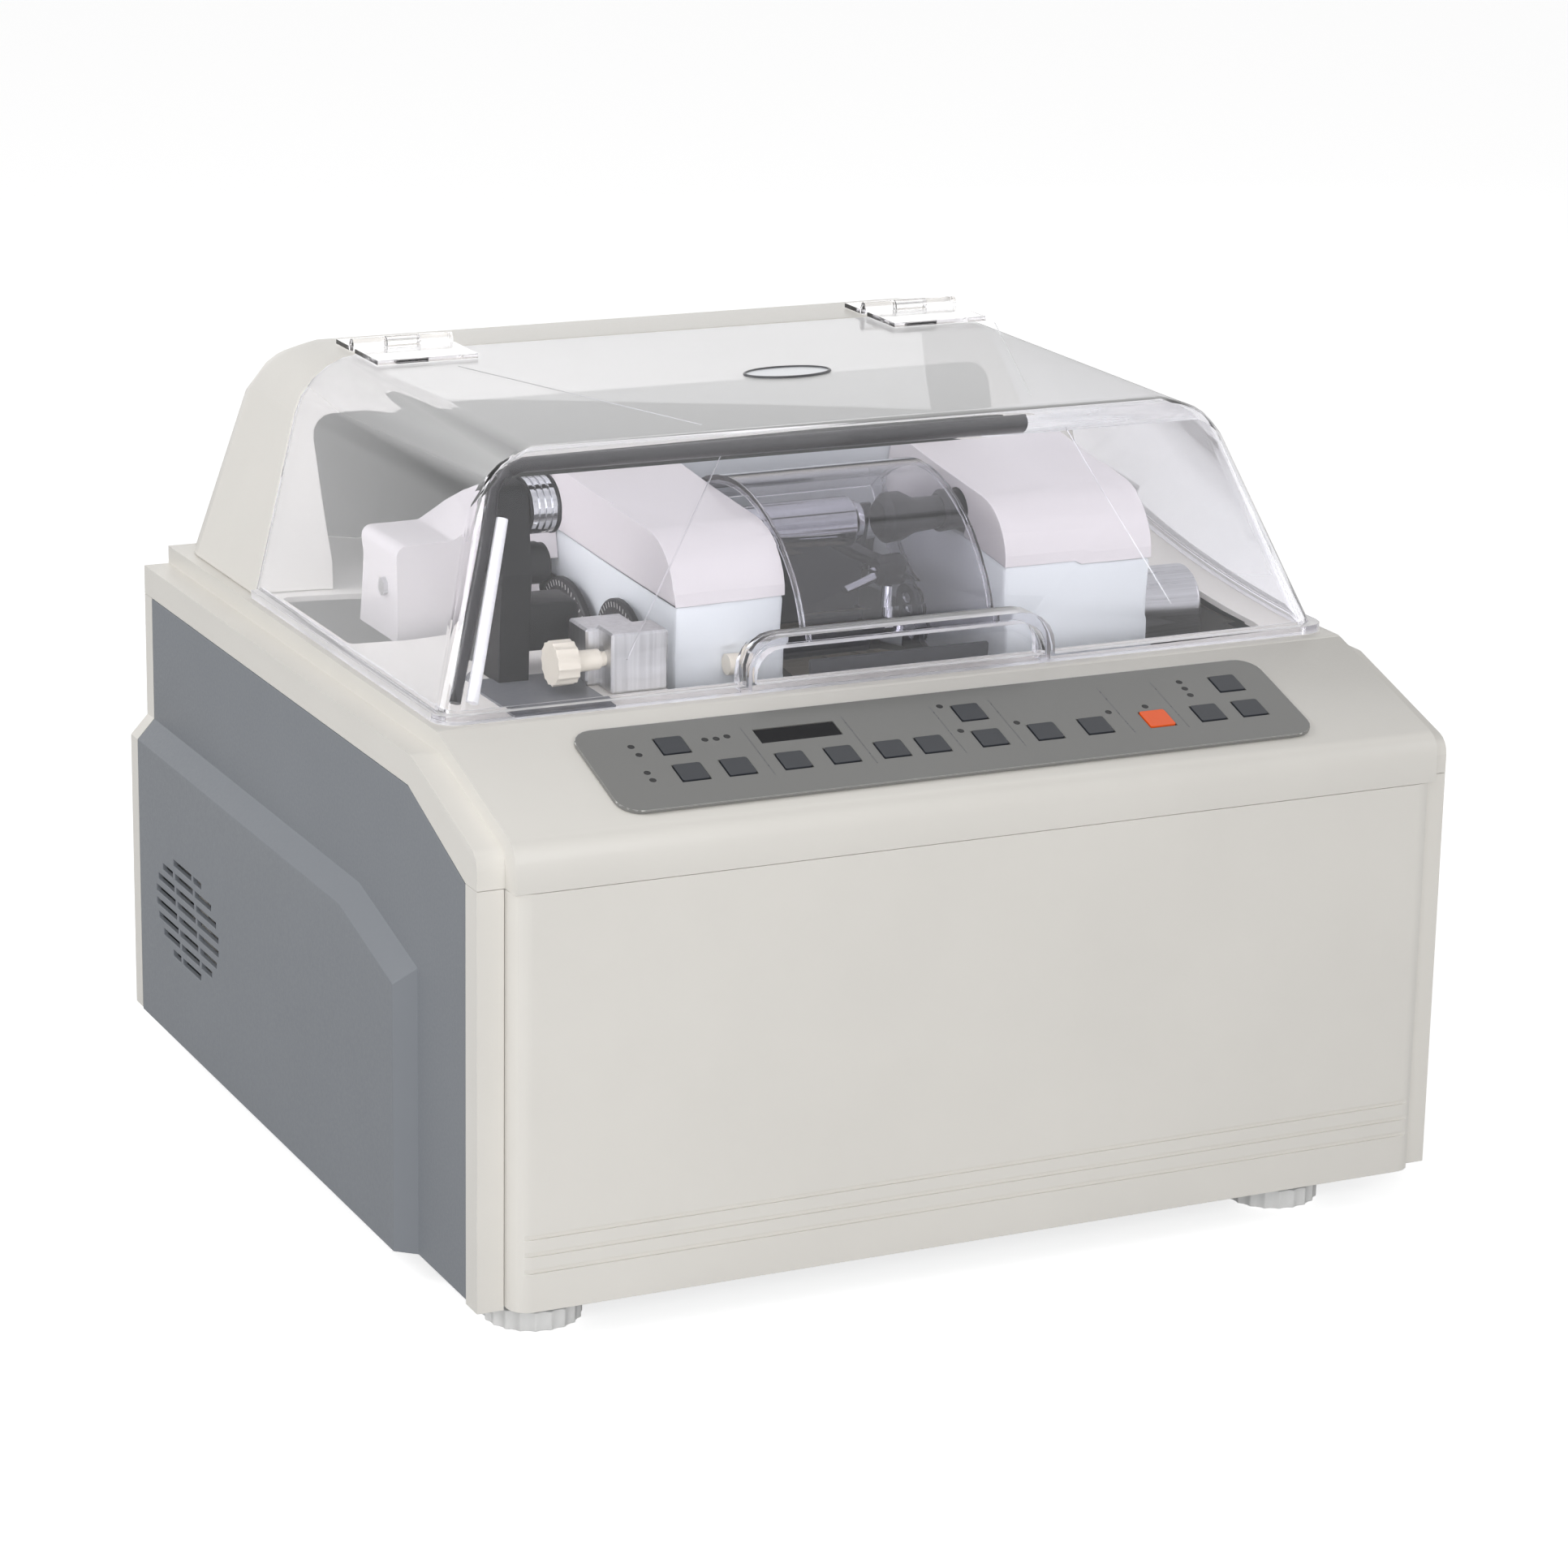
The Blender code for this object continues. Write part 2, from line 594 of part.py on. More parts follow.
def rear_panel():
    half = HALF_BODY - GAP
    low_y = CABINET_DEPTH - 0.0087
    outline = rounded(rectangle((0, PANEL_TOP / 2 - 0.001), (2 * half, PANEL_TOP - 0.003)))
    hole = rounded(rectangle(INLET_CENTRE, (INLET_SIZE[0] - 0.010, INLET_SIZE[1] - 0.008)))
    holes = [ellipse(spot, (SPIGOT_RADIUS - 0.001,) * 2, 20) for spot in SPIGOTS]
    panel = prism("rear_panel", [outline, hole] + holes, "y", low_y, low_y + 0.002, STEEL_SHEET)
    for index, spot in enumerate(SPIGOTS):
        tube = [ellipse(spot, (radius, radius), 20) for radius in (SPIGOT_RADIUS, SPIGOT_RADIUS - 0.002)]
        join(panel, prism(f"spigot_{index}", tube, "y", low_y - 0.012, low_y + 0.0065))


def power_inlet():
    face = CABINET_DEPTH - 0.0087 + 0.002 + GAP
    x, z = INLET_CENTRE
    module = prism("power_inlet", [rounded(rectangle(INLET_CENTRE, INLET_SIZE, 0.004))], "y",
                   face, face + 0.002, BLACK_PLASTIC)
    body = INLET_SIZE[0] / 2 - 0.006, INLET_SIZE[1] / 2 - 0.005
    join(module, block("inlet_body", (x - body[0], face - 0.030, z - body[1]),
                       (x + body[0], face + 0.001, z + body[1])))
    socket = block("inlet_socket", (x - 0.012, face - 0.018, z - 0.024), (x + 0.012, face + 0.01, z - 0.006))
    rocker_hole = block("inlet_rocker_hole", (x - 0.0105, face - 0.015, z + 0.003),
                        (x + 0.0105, face + 0.01, z + 0.019))
    cut(module, socket, rocker_hole)
    for index, (dx, dz) in enumerate(((-0.006, -0.017), (0.006, -0.017), (0, -0.011))):
        blade = (x + dx - 0.001, face - 0.020, z + dz - 0.002), (x + dx + 0.001, face - 0.004, z + dz + 0.002)
        join(module, block(f"inlet_blade_{index}", *blade))


ROCKER_TILT = radians(8)


def power_switch():
    face = CABINET_DEPTH - 0.0087 + 0.002 + GAP
    axis = (INLET_CENTRE[0], face - 0.003, INLET_CENTRE[1] + 0.011)
    half = 0.007
    outline = [
        (-0.006, -half * 0.8),
        (0.0038, -half),
        (0.0030, 0),
        (0.0046, half),
        (-0.006, half * 0.8),
    ]
    outline = [(axis[1] + y, axis[2] + z) for y, z in outline]
    prism("power_switch", [outline], "x", axis[0] - 0.0101, axis[0] + 0.0101, BLACK_PLASTIC, axis)


# Top moulding: rim, raised platform and control slope in one shell
def top_deck():
    seam = SEAM_HEIGHT
    body = [
        (0, seam),
        (0, SLOPE_FOOT, LIP_RADIUS),
        (SLOPE_DEPTH, PLATFORM_HEIGHT, 0.012),
        (CABINET_DEPTH, PLATFORM_HEIGHT),
    ] + skirt_line()
    rim_start = slope_height(FRAME_SETBACK) - RIM_DROP
    rim = [
        (FRAME_SETBACK, seam),
        (FRAME_SETBACK, rim_start, CORNER_RADIUS),
        (SLOPE_DEPTH, RIM_HEIGHT, 0.012),
        (CABINET_DEPTH, RIM_HEIGHT),
    ] + skirt_line()
    deck = prism("top_deck", [rounded(rim)], "x", -HALF_CABINET, HALF_CABINET, SHELL)
    middle = bevel(prism("deck_middle", [rounded(body)], "x", -HALF_BODY, HALF_BODY), 0.004, 2, 50)
    join(deck, middle)
    drop = 0.05
    wall = WALL / cos(SLOPE_ANGLE)
    under_rim = [
        (FRAME_SETBACK + WALL, seam - drop),
        (FRAME_SETBACK + WALL, slope_height(FRAME_SETBACK + WALL) - RIM_DROP - wall, CORNER_RADIUS - WALL),
        (SLOPE_DEPTH, RIM_HEIGHT - WALL),
        (CABINET_DEPTH - WALL, RIM_HEIGHT - WALL),
        (CABINET_DEPTH - WALL, seam - drop),
    ]
    under_body = [
        (WALL, seam - drop),
        (WALL, slope_height(WALL) - wall, LIP_RADIUS - WALL),
        (SLOPE_DEPTH, PLATFORM_HEIGHT - WALL),
        (CABINET_DEPTH - WALL, PLATFORM_HEIGHT - WALL),
        (CABINET_DEPTH - WALL, seam - drop),
    ]
    rim_half = HALF_CABINET - WALL
    body_half = HALF_BODY - WALL
    cut(deck, prism("deck_under_rim", [rounded(under_rim)], "x", -rim_half, rim_half))
    cut(deck, prism("deck_under_body", [rounded(under_body)], "x", -body_half, body_half))
    low, high = seam - 0.01, PLATFORM_HEIGHT + 0.03
    mouth = (
        LEFT_HEAD[0] - OPENING_MARGIN,
        HEAD_FRONT - OPENING_MARGIN - 0.020,
        RIGHT_HEAD[1] + OPENING_MARGIN,
        PIVOT_Y + PIVOT_RADIUS + OPENING_MARGIN,
    )
    dial_edge = SIZE_DIAL[0] - 0.004 - OPENING_MARGIN
    motor_edge = RIGHT_HEAD[1] + CLAMP_MOTOR_LENGTH + 2 * OPENING_MARGIN
    motor_rear = CLAMP_MOTOR_Y + CLAMP_MOTOR_RADIUS + 2 * OPENING_MARGIN
    wing_edge = WING_LEFT - 0.029
    wing_front = WING_FRONT - 0.013
    lug_edge = mouth[0] - LUG_WIDTH - 0.013
    opening = rounded([
        (dial_edge, mouth[1], 0.004),
        (motor_edge, mouth[1], 0.004),
        (motor_edge, motor_rear, 0.004),
        (mouth[2], motor_rear),
        (mouth[2], mouth[3], 0.004),
        (mouth[0], mouth[3], 0.004),
        (mouth[0], WING_REAR + OPENING_MARGIN),
        (lug_edge, WING_REAR + OPENING_MARGIN),
        (lug_edge, SEAM_BASE_Y - 0.010, 0.004),
        (wing_edge, SEAM_BASE_Y - 0.010, 0.004),
        (wing_edge, wing_front, 0.004),
        (dial_edge, wing_front),
    ])
    cut(deck, prism("deck_mouth", [opening], "z", low, high))
    for label, x in (("left", mouth[0] - LUG_WIDTH - 0.003), ("right", mouth[2] + 0.003)):
        lug_outline = [
            (PIVOT_Y - 0.016, PLATFORM_HEIGHT - WALL / 2),
            (PIVOT_Y - 0.016, PIVOT_Z),
        ] + arc((PIVOT_Y, PIVOT_Z), 0.016, pi, 0, 8)[1:] + [(PIVOT_Y + 0.016, PLATFORM_HEIGHT - WALL / 2)]
        join(deck, prism(label + "_lug", [lug_outline], "x", x, x + LUG_WIDTH))
        cut(deck, turned(label + "_lug_bore", [(-0.02, PIVOT_RADIUS + GAP), (0.02, PIVOT_RADIUS + GAP)],
                         "x", (x + LUG_WIDTH / 2, PIVOT_Y, PIVOT_Z), steps=24))


def hood_block(name, inset=0.0, lower=0.0, finish=None):
    """The hood's leaning, rounded block, before its front is cut to the seam."""
    base = PLATFORM_HEIGHT + GAP
    lean = (HOOD_BASE_HALF - HOOD_TOP_HALF) / (HOOD_HEIGHT - base)
    side = inset * hypot(1, lean)
    rear = CABINET_DEPTH - inset
    bm = bmesh.new()
    bmesh.ops.create_cube(bm, size=1)
    for vert in bm.verts:
        upper = vert.co.z > 0
        half = HOOD_TOP_HALF - side + lean * inset if upper else HOOD_BASE_HALF - side + lean * lower
        vert.co = Vector((half if vert.co.x > 0 else -half, rear if vert.co.y > 0 else SEAM_BASE_Y - 0.04,
                          HOOD_HEIGHT - inset if upper else base - lower))
    layer = bm.edges.layers.float.new("bevel_weight_edge")
    largest = HOOD_REAR_RADIUS - inset
    for edge in bm.edges:
        ends = [vert.co for vert in edge.verts]
        across = abs(ends[0].x - ends[1].x) > 0.1
        behind = all(end.y > rear - 0.001 for end in ends)
        high = all(end.z > base + 0.05 for end in ends)
        if high and across and behind:
            edge[layer] = 1.0
        elif (high and not across) or (behind and not across):
            edge[layer] = (HOOD_RADIUS - inset) / largest
    block_piece = place(name, mesh_from(bm, name), finish)
    return weighted_bevel(block_piece, largest, 5)


def seam_y(height):
    """How far back the lid's rear edge lies at a height."""
    run = (SEAM_TOP_Y - SEAM_BASE_Y) / (HOOD_HEIGHT - PLATFORM_HEIGHT)
    return SEAM_BASE_Y + (height - PLATFORM_HEIGHT) * run


def weighted_bevel(piece, width, segments):
    rounding = piece.modifiers.new("rounding", "BEVEL")
    rounding.width = width
    rounding.segments = segments
    rounding.limit_method = "WEIGHT"
    return piece


# Rear hood: a fixed cap whose front wall leans with the lid's rear edge
def rear_hood():
    base = PLATFORM_HEIGHT + GAP
    hood = hood_block("rear_hood", finish=SHELL)
    far = 0.05
    front = [
        (SEAM_BASE_Y - 0.1, base - far),
        (seam_y(base - far), base - far),
        (seam_y(HOOD_HEIGHT + far), HOOD_HEIGHT + far),
        (SEAM_BASE_Y - 0.1, HOOD_HEIGHT + far),
    ]
    cut(hood, prism("hood_front_cut", [front], "x", -0.4, 0.4))
    hollow = hood_block("hood_hollow", WALL, far)
    wall = WALL * 1.1
    inner_front = [
        (SEAM_BASE_Y - 0.2, base - 2 * far),
        (seam_y(base - 2 * far) + wall, base - 2 * far),
        (seam_y(HOOD_HEIGHT + far) + wall, HOOD_HEIGHT + far),
        (SEAM_BASE_Y - 0.2, HOOD_HEIGHT + far),
    ]
    cut(hollow, prism("hood_inner_front", [inner_front], "x", -0.4, 0.4))
    cut(hood, hollow)
    window = rounded([
        (-HOOD_WINDOW_HALF, base - far),
        (HOOD_WINDOW_HALF, base - far),
        (HOOD_WINDOW_HALF, HOOD_WINDOW_TOP, 0.012),
        (-HOOD_WINDOW_HALF, HOOD_WINDOW_TOP, 0.012),
    ])
    cut(hood, prism("hood_window", [window], "y", SEAM_BASE_Y - 0.05, SEAM_TOP_Y + 0.015))


# Lid: thin clear shell with a foot flange and a moulded finger pull
LID_AXIS = (0, SEAM_TOP_Y + 0.003, HOOD_HEIGHT + GAP + HINGE_KNUCKLE + 0.0002)


def lid():
    base = PLATFORM_HEIGHT + 0.002
    bm = bmesh.new()
    bmesh.ops.create_cube(bm, size=1)
    for vert in bm.verts:
        upper = vert.co.z > 0
        back = vert.co.y > 0
        half = HOOD_TOP_HALF if upper else HOOD_BASE_HALF
        front = LID_TOP_FRONT if upper else LID_FRONT
        height = HOOD_HEIGHT if upper else base
        vert.co = Vector((half if vert.co.x > 0 else -half, seam_y(height) - LID_SEAM_GAP if back else front,
                          height)) - Vector(LID_AXIS)
    layer = bm.edges.layers.float.new("bevel_weight_edge")
    for edge in bm.edges:
        ends = [vert.co + Vector(LID_AXIS) for vert in edge.verts]
        level = all(end.z > base + 0.01 for end in ends)
        rear = all(end.y > SEAM_BASE_Y - 0.01 for end in ends)
        side = abs(ends[0].x - ends[1].x) < 0.1
        if rear or all(end.z < base + 0.01 for end in ends):
            continue
        edge[layer] = 1.0 if level and side else LID_FRONT_RADIUS / HOOD_RADIUS
    open_faces = [face for face in bm.faces if face.normal.z < -0.5 or face.normal.y > 0.5]
    bmesh.ops.delete(bm, geom=open_faces, context="FACES_ONLY")
    shell = place("lid", mesh_from(bm, "lid"), CLEAR, LID_AXIS)
    weighted_bevel(shell, HOOD_RADIUS, 5)
    thick = shell.modifiers.new("wall", "SOLIDIFY")
    thick.thickness = WALL
    thick.offset = -1
    thick.use_even_offset = True
    low = PLATFORM_HEIGHT + GAP
    outer = HOOD_BASE_HALF + FLANGE_REACH
    front = LID_FRONT - FLANGE_REACH
    back = seam_y(low) - LID_SEAM_GAP - 0.001
    corner = 0.012
    flange = [
        (-outer, back),
        (-outer, front, corner),
        (outer, front, corner),
        (outer, back),
        (outer - FLANGE_DEPTH, back),
        (outer - FLANGE_DEPTH, front + FLANGE_DEPTH, corner * 0.5),
        (-outer + FLANGE_DEPTH, front + FLANGE_DEPTH, corner * 0.5),
        (-outer + FLANGE_DEPTH, back),
    ]
    join(shell, prism("lid_flange", [rounded(flange)], "z", low, low + FLANGE_HEIGHT))
    top = low + HANDLE_HEIGHT
    pull = rounded([
        (-HANDLE_HALF, low),
        (-HANDLE_HALF, top, HANDLE_RADIUS),
        (HANDLE_HALF, top, HANDLE_RADIUS),
        (HANDLE_HALF, low),
        (HANDLE_HALF - HANDLE_BAND, low),
        (HANDLE_HALF - HANDLE_BAND, top - HANDLE_BAND, HANDLE_RADIUS - HANDLE_BAND),
        (-HANDLE_HALF + HANDLE_BAND, top - HANDLE_BAND, HANDLE_RADIUS - HANDLE_BAND),
        (-HANDLE_HALF + HANDLE_BAND, low),
    ], 5)
    join(shell, prism("lid_pull", [pull], "y", front, LID_FRONT + 0.0125))


# Lid hinges: a leaf on the lid, a leaf on the hood and a fixed pin
def hinges():
    y, z = LID_AXIS[1:]
    for label, x in zip(("left", "right"), HINGE_CENTRES):
        low, high = x - HINGE_WIDTH / 2, x + HINGE_WIDTH / 2
        third = HINGE_WIDTH / 3
        seat = HOOD_HEIGHT + GAP
        base = block("hinge_base_" + label, (low, y + HINGE_KNUCKLE + GAP, seat),
                     (high, y + 0.024, seat + HINGE_THICKNESS), CLEAR)
        for index, start in enumerate((low, high - third + GAP)):
            ends = [(0, HINGE_KNUCKLE), (third - GAP, HINGE_KNUCKLE)]
            join(base, turned(f"{label}_base_knuckle_{index}", ends,
                              "x", (start, y, z), steps=16))
            web = (start + 0.0005, y, seat), (start + third - GAP - 0.0005, y + HINGE_KNUCKLE + 0.002,
                                              seat + HINGE_THICKNESS - 0.0003)
            join(base, block(f"{label}_base_web_{index}", *web))
        join(base, turned(label + "_hinge_pin", [(0, HINGE_PIN), (HINGE_WIDTH - 0.002, HINGE_PIN)],
                          "x", (low + 0.001, y, z), steps=12))
        leaf = block("hinge_leaf_" + label, (low, y - HINGE_LEAF, seat),
                     (high, y - HINGE_KNUCKLE - 0.0015, seat + HINGE_THICKNESS), CLEAR, LID_AXIS)
        start = low + third + GAP
        join(leaf, turned(label + "_leaf_knuckle", [(0, HINGE_KNUCKLE), (third - 2 * GAP, HINGE_KNUCKLE)],
                          "x", (start, y, z), steps=16))
        web = (start + 0.0005, y - HINGE_KNUCKLE - 0.002, seat), (start + third - 2 * GAP - 0.0005, y,
                                                                  seat + HINGE_THICKNESS - 0.0003)
        join(leaf, block(label + "_leaf_web", *web))
        cut(leaf, turned(label + "_leaf_bore", [(-0.01, HINGE_PIN + GAP), (HINGE_WIDTH, HINGE_PIN + GAP)],
                         "x", (low, y, z), steps=12))


VISOR = (0, VISOR_Y, VISOR_Z)


# Carriage: two hollow head bodies, the bridge behind the chamber and the pivot shaft
PIVOT = (0, PIVOT_Y, PIVOT_Z)


def carriage_frame():
    frame = block("carriage_frame", (LEFT_HEAD[0], HEAD_FRONT, HEAD_BOTTOM),
                  (LEFT_HEAD[1], HEAD_REAR, HEAD_SEAM), HEAD_GREY, PIVOT)
    bevel(frame, 0.003, 2)
    right = bevel(block("right_head_body", (RIGHT_HEAD[0], HEAD_FRONT, HEAD_BOTTOM),
                        (RIGHT_HEAD[1], HEAD_REAR, HEAD_SEAM)), 0.003, 2)
    bridge = bevel(block("carriage_bridge", (LEFT_HEAD[0], HEAD_REAR - 0.004, BRIDGE_BOTTOM),
                         (RIGHT_HEAD[1], PIVOT_Y + 0.004, BRIDGE_TOP)), 0.006, 3)
    reach = OPENING_MARGIN + LUG_WIDTH + 0.005
    ends = LEFT_HEAD[0] - reach, RIGHT_HEAD[1] + reach
    shaft = turned("pivot_shaft", [(ends[0], PIVOT_RADIUS), (ends[1], PIVOT_RADIUS)], "x", PIVOT, steps=24)
    join(frame, right, bridge, shaft)
    for label, (low, high) in (("left", LEFT_HEAD), ("right", RIGHT_HEAD)):
        cut(frame, block(label + "_body_hollow", (low + WALL, HEAD_FRONT + WALL, HEAD_BOTTOM - 0.01),
                         (high - WALL, HEAD_REAR - WALL - 0.002, HEAD_SEAM + 0.01)))


def head_cover(label, low, high, bores):
    seat = HEAD_SEAM + GAP
    back = HEAD_REAR - 0.0045
    outline = [
        (HEAD_FRONT, seat),
        (HEAD_FRONT, HEAD_TOP, HEAD_RADIUS - 0.004),
        (back, HEAD_TOP, 0.006),
        (back, seat),
    ]
    cover = prism(label + "_head_cover", [rounded(outline, 8)], "x", low, high, HEAD_WHITE, PIVOT)
    bearing = 0.010
    inner = [
        (HEAD_FRONT + WALL, seat - 0.01),
        (HEAD_FRONT + WALL, HEAD_TOP - WALL, HEAD_RADIUS - 0.004 - WALL),
        (back - WALL, HEAD_TOP - WALL),
        (back - WALL, seat - 0.01),
    ]
    cut(cover, prism(label + "_cover_hollow", [rounded(inner, 6)], "x", low + bearing, high - bearing))
    for index, (start, end, radius) in enumerate(bores):
        slot = arc((LENS_Y, LENS_Z), radius + GAP, 0, pi, 12)
        slot += [(LENS_Y - radius - GAP, seat - 0.001), (LENS_Y + radius + GAP, seat - 0.001)]
        cut(cover, prism(f"{label}_cover_slot_{index}", [slot], "x", start, end), solver="MANIFOLD")
    if label == "left":
        join(cover, *cover_wing(back))


def cover_wing(back):
    """The left cover's hollow wing, which reaches behind the pattern unit, and the tab that carries it."""
    inner_end = LEFT_HEAD[0] - GAP
    notch_x = BEVEL_DIAL[0] - 0.008
    notch_z = BEVEL_DIAL[2] + DIAL_RADIUS + 0.004

    def outline(inset, bottom):
        return rounded([
            (WING_LEFT + inset, bottom),
            (WING_LEFT + inset, WING_SHOULDER - inset, 0.006),
            (WING_STEP[0], WING_SHOULDER - inset, 0.008),
            (WING_STEP[1], HEAD_TOP - inset, 0.008),
            (inner_end - inset, HEAD_TOP - inset),
            (inner_end - inset, notch_z + inset),
            (notch_x - inset, notch_z + inset),
            (notch_x - inset, bottom),
        ])

    wing = prism("left_wing", [outline(0, WING_BOTTOM)], "y", WING_FRONT, WING_REAR)
    cut(wing, prism("left_wing_hollow", [outline(WALL, WING_BOTTOM - 0.01)], "y", WING_FRONT + WALL,
                    WING_REAR - WALL))
    tab = block("left_wing_tab", (inner_end - 0.002, WING_FRONT + 0.0004, HEAD_SEAM + 0.0025),
                (LEFT_HEAD[0] + 0.004, back - 0.0004, HEAD_TOP - 0.0025))
    return wing, tab


LENS_AXIS = (0, LENS_Y, LENS_Z)


def left_lens_shaft():
    profile = [
        (LEFT_HEAD[0] + 0.004, LENS_SHAFT_RADIUS),
        (LEFT_HEAD[1] + 0.004, LENS_SHAFT_RADIUS),
        (LEFT_HEAD[1] + 0.004, CHUCK_RADIUS),
        (LENS_GAP[0] - 0.006, CHUCK_RADIUS),
        (LENS_GAP[0] - 0.004, CHUCK_RADIUS - 0.002),
        (LENS_GAP[0], CHUCK_RADIUS - 0.003),
    ]
    turned("left_lens_shaft", profile, "x", LENS_AXIS, CHROME, 24)


QUILL_RADIUS = 0.012


def clamp_quill():
    profile = [
        (RIGHT_HEAD[0] - 0.012, QUILL_RADIUS - 0.002),
        (RIGHT_HEAD[0] - 0.010, QUILL_RADIUS),
        (RIGHT_HEAD[0] + 0.045, QUILL_RADIUS),
    ]
    quill = turned("clamp_quill", profile, "x", LENS_AXIS, BLACK_METAL, 24)
    cut(quill, turned("quill_bore", [(-0.1, LENS_SHAFT_RADIUS + GAP), (0.3, LENS_SHAFT_RADIUS + GAP)],
                      "x", LENS_AXIS, steps=24))


def right_lens_shaft():
    profile = [
        (LENS_GAP[1], 0.009),
        (LENS_GAP[1] + 0.004, CHUCK_RADIUS),
        (LENS_GAP[1] + 0.012, CHUCK_RADIUS),
        (LENS_GAP[1] + 0.020, LENS_SHAFT_RADIUS),
        (RIGHT_HEAD[0] + 0.048, LENS_SHAFT_RADIUS),
    ]
    turned("right_lens_shaft", profile, "x", LENS_AXIS, BLACK_METAL, 24)


def clamp_motor():
    start = RIGHT_HEAD[1] + GAP
    profile = [
        (start, CLAMP_MOTOR_RADIUS),
        (start + CLAMP_MOTOR_LENGTH - 0.002, CLAMP_MOTOR_RADIUS),
        (start + CLAMP_MOTOR_LENGTH, CLAMP_MOTOR_RADIUS - 0.002),
    ]
    turned("clamp_motor", profile, "x", (0, CLAMP_MOTOR_Y, CLAMP_MOTOR_Z), STAINLESS, 32)


# Splash visor: an arc of clear sheet with two end arms, pinned outside the chamber's ears
def splash_visor():
    low, high = LEFT_HEAD[1] + 0.0010, VISOR_RIGHT
    outer = arc((VISOR_Y, VISOR_Z), VISOR_RADIUS, VISOR_FRONT, VISOR_REAR, 15)
    inner = arc((VISOR_Y, VISOR_Z), VISOR_RADIUS - VISOR_WALL, VISOR_REAR, VISOR_FRONT, 15)
    visor = prism("splash_visor", [outer + inner], "x", low, high, SMOKED, VISOR)
    arm_angle = VISOR_REAR + radians(5)
    arm_half = 0.006
    direction = Vector((cos(arm_angle), sin(arm_angle)))
    across = Vector((-direction.y, direction.x)) * arm_half
    hub = Vector((VISOR_Y, VISOR_Z))
    tip = hub + direction * (VISOR_RADIUS - 0.001)
    pins = {"left": CHAMBER_LEFT + WALL - 0.0005, "right": CHAMBER_RIGHT - WALL + 0.0005}
    for label, start, end in (("left", low, low + VISOR_ARM), ("right", high - VISOR_ARM, high)):
        rib_inner = arc((VISOR_Y, VISOR_Z), VISOR_RADIUS - VISOR_RIB, VISOR_REAR, VISOR_FRONT, 15)
        join(visor, prism(label + "_visor_rib", [outer + rib_inner], "x", start, end))
        arm = [tuple(hub + across), tuple(hub - across), tuple(tip - across), tuple(tip + across)]
        join(visor, prism(label + "_visor_arm", [arm], "x", start, end))
        hub_radius = 0.008
        if label == "left":
            profile = [(start, hub_radius), (end, hub_radius), (end, VISOR_PIN_RADIUS),
                       (pins[label], VISOR_PIN_RADIUS)]
        else:
            profile = [(pins[label], VISOR_PIN_RADIUS), (start, VISOR_PIN_RADIUS), (start, hub_radius),
                       (end, hub_radius)]
        join(visor, turned(label + "_visor_hub", profile, "x", VISOR, steps=20))


SPINDLE = (0, WHEEL_Y, WHEEL_Z)


# Grinding chamber: a cast tub on a pedestal, with the two spindle bearings and the visor's two ears
def grinding_chamber():
    low, high = CHAMBER_LEFT, CHAMBER_RIGHT
    rim = CHAMBER_TOP - 0.03
    tub = block("grinding_chamber", (low, CHAMBER_FRONT, CHAMBER_BOTTOM), (high, CHAMBER_REAR, rim),
                STAINLESS)
    back = block("chamber_back", (low, CHAMBER_REAR - WALL, CHAMBER_BOTTOM),
                 (high, CHAMBER_REAR, CHAMBER_BACK_TOP))
    front = block("chamber_front", (low, CHAMBER_FRONT, CHAMBER_BOTTOM),
                  (high, CHAMBER_FRONT + WALL, CHAMBER_TOP + 0.007))
    join(tub, back, front)
    for label, start in (("left", low - BEARING_LENGTH), ("right", high)):
        profile = [(-0.001, BEARING_RADIUS), (BEARING_LENGTH + 0.001, BEARING_RADIUS)]
        join(tub, turned(label + "_bearing", profile, "x", (start, WHEEL_Y, WHEEL_Z), steps=28))
    for index, y in enumerate((CHAMBER_FRONT + 0.014, CHAMBER_REAR - 0.028)):
        leg = (low + 0.012, y, WALL + GAP), (high - 0.012, y + 0.014, CHAMBER_BOTTOM + 0.001)
        join(tub, block(f"pedestal_{index}", *leg))
    cut(tub, block("tub_inside", (low + WALL, CHAMBER_FRONT + WALL, CHAMBER_BOTTOM + WALL),
                   (high - WALL, CHAMBER_REAR - WALL, CHAMBER_BACK_TOP + 0.05)))
    for label, start in (("left", low), ("right", high - WALL)):
        join(tub, block(label + "_ear", (start, VISOR_Y - VISOR_EAR, rim - 0.001),
                        (start + WALL, VISOR_Y + VISOR_EAR, VISOR_Z)))
        profile = [(start, VISOR_EAR), (start + WALL, VISOR_EAR)]
        join(tub, turned(label + "_ear_top", profile, "x", VISOR, steps=24))
    for label, axis, radius in (("bearing", SPINDLE, SPINDLE_RADIUS), ("ear", VISOR, VISOR_PIN_RADIUS)):
        profile = [(-0.2, radius + GAP), (0.2, radius + GAP)]
        cut(tub, turned(label + "_bore", profile, "x", axis, steps=24))


PULLEY_START = RIGHT_HEAD[0] - 0.0045 + BEARING_LENGTH + 0.003


def grinding_spindle():
    profile = [
        (CHAMBER_LEFT - BEARING_LENGTH - 0.006, SPINDLE_RADIUS),
        (PULLEY_START, SPINDLE_RADIUS),
        (PULLEY_START, SPINDLE_PULLEY + 0.004),
        (PULLEY_START + 0.002, SPINDLE_PULLEY + 0.004),
        (PULLEY_START + 0.002, SPINDLE_PULLEY),
        (PULLEY_START + PULLEY_WIDTH - 0.002, SPINDLE_PULLEY),
        (PULLEY_START + PULLEY_WIDTH - 0.002, SPINDLE_PULLEY + 0.004),
        (PULLEY_START + PULLEY_WIDTH, SPINDLE_PULLEY + 0.004),
    ]
    turned("grinding_spindle", profile, "x", SPINDLE, STAINLESS, 28)


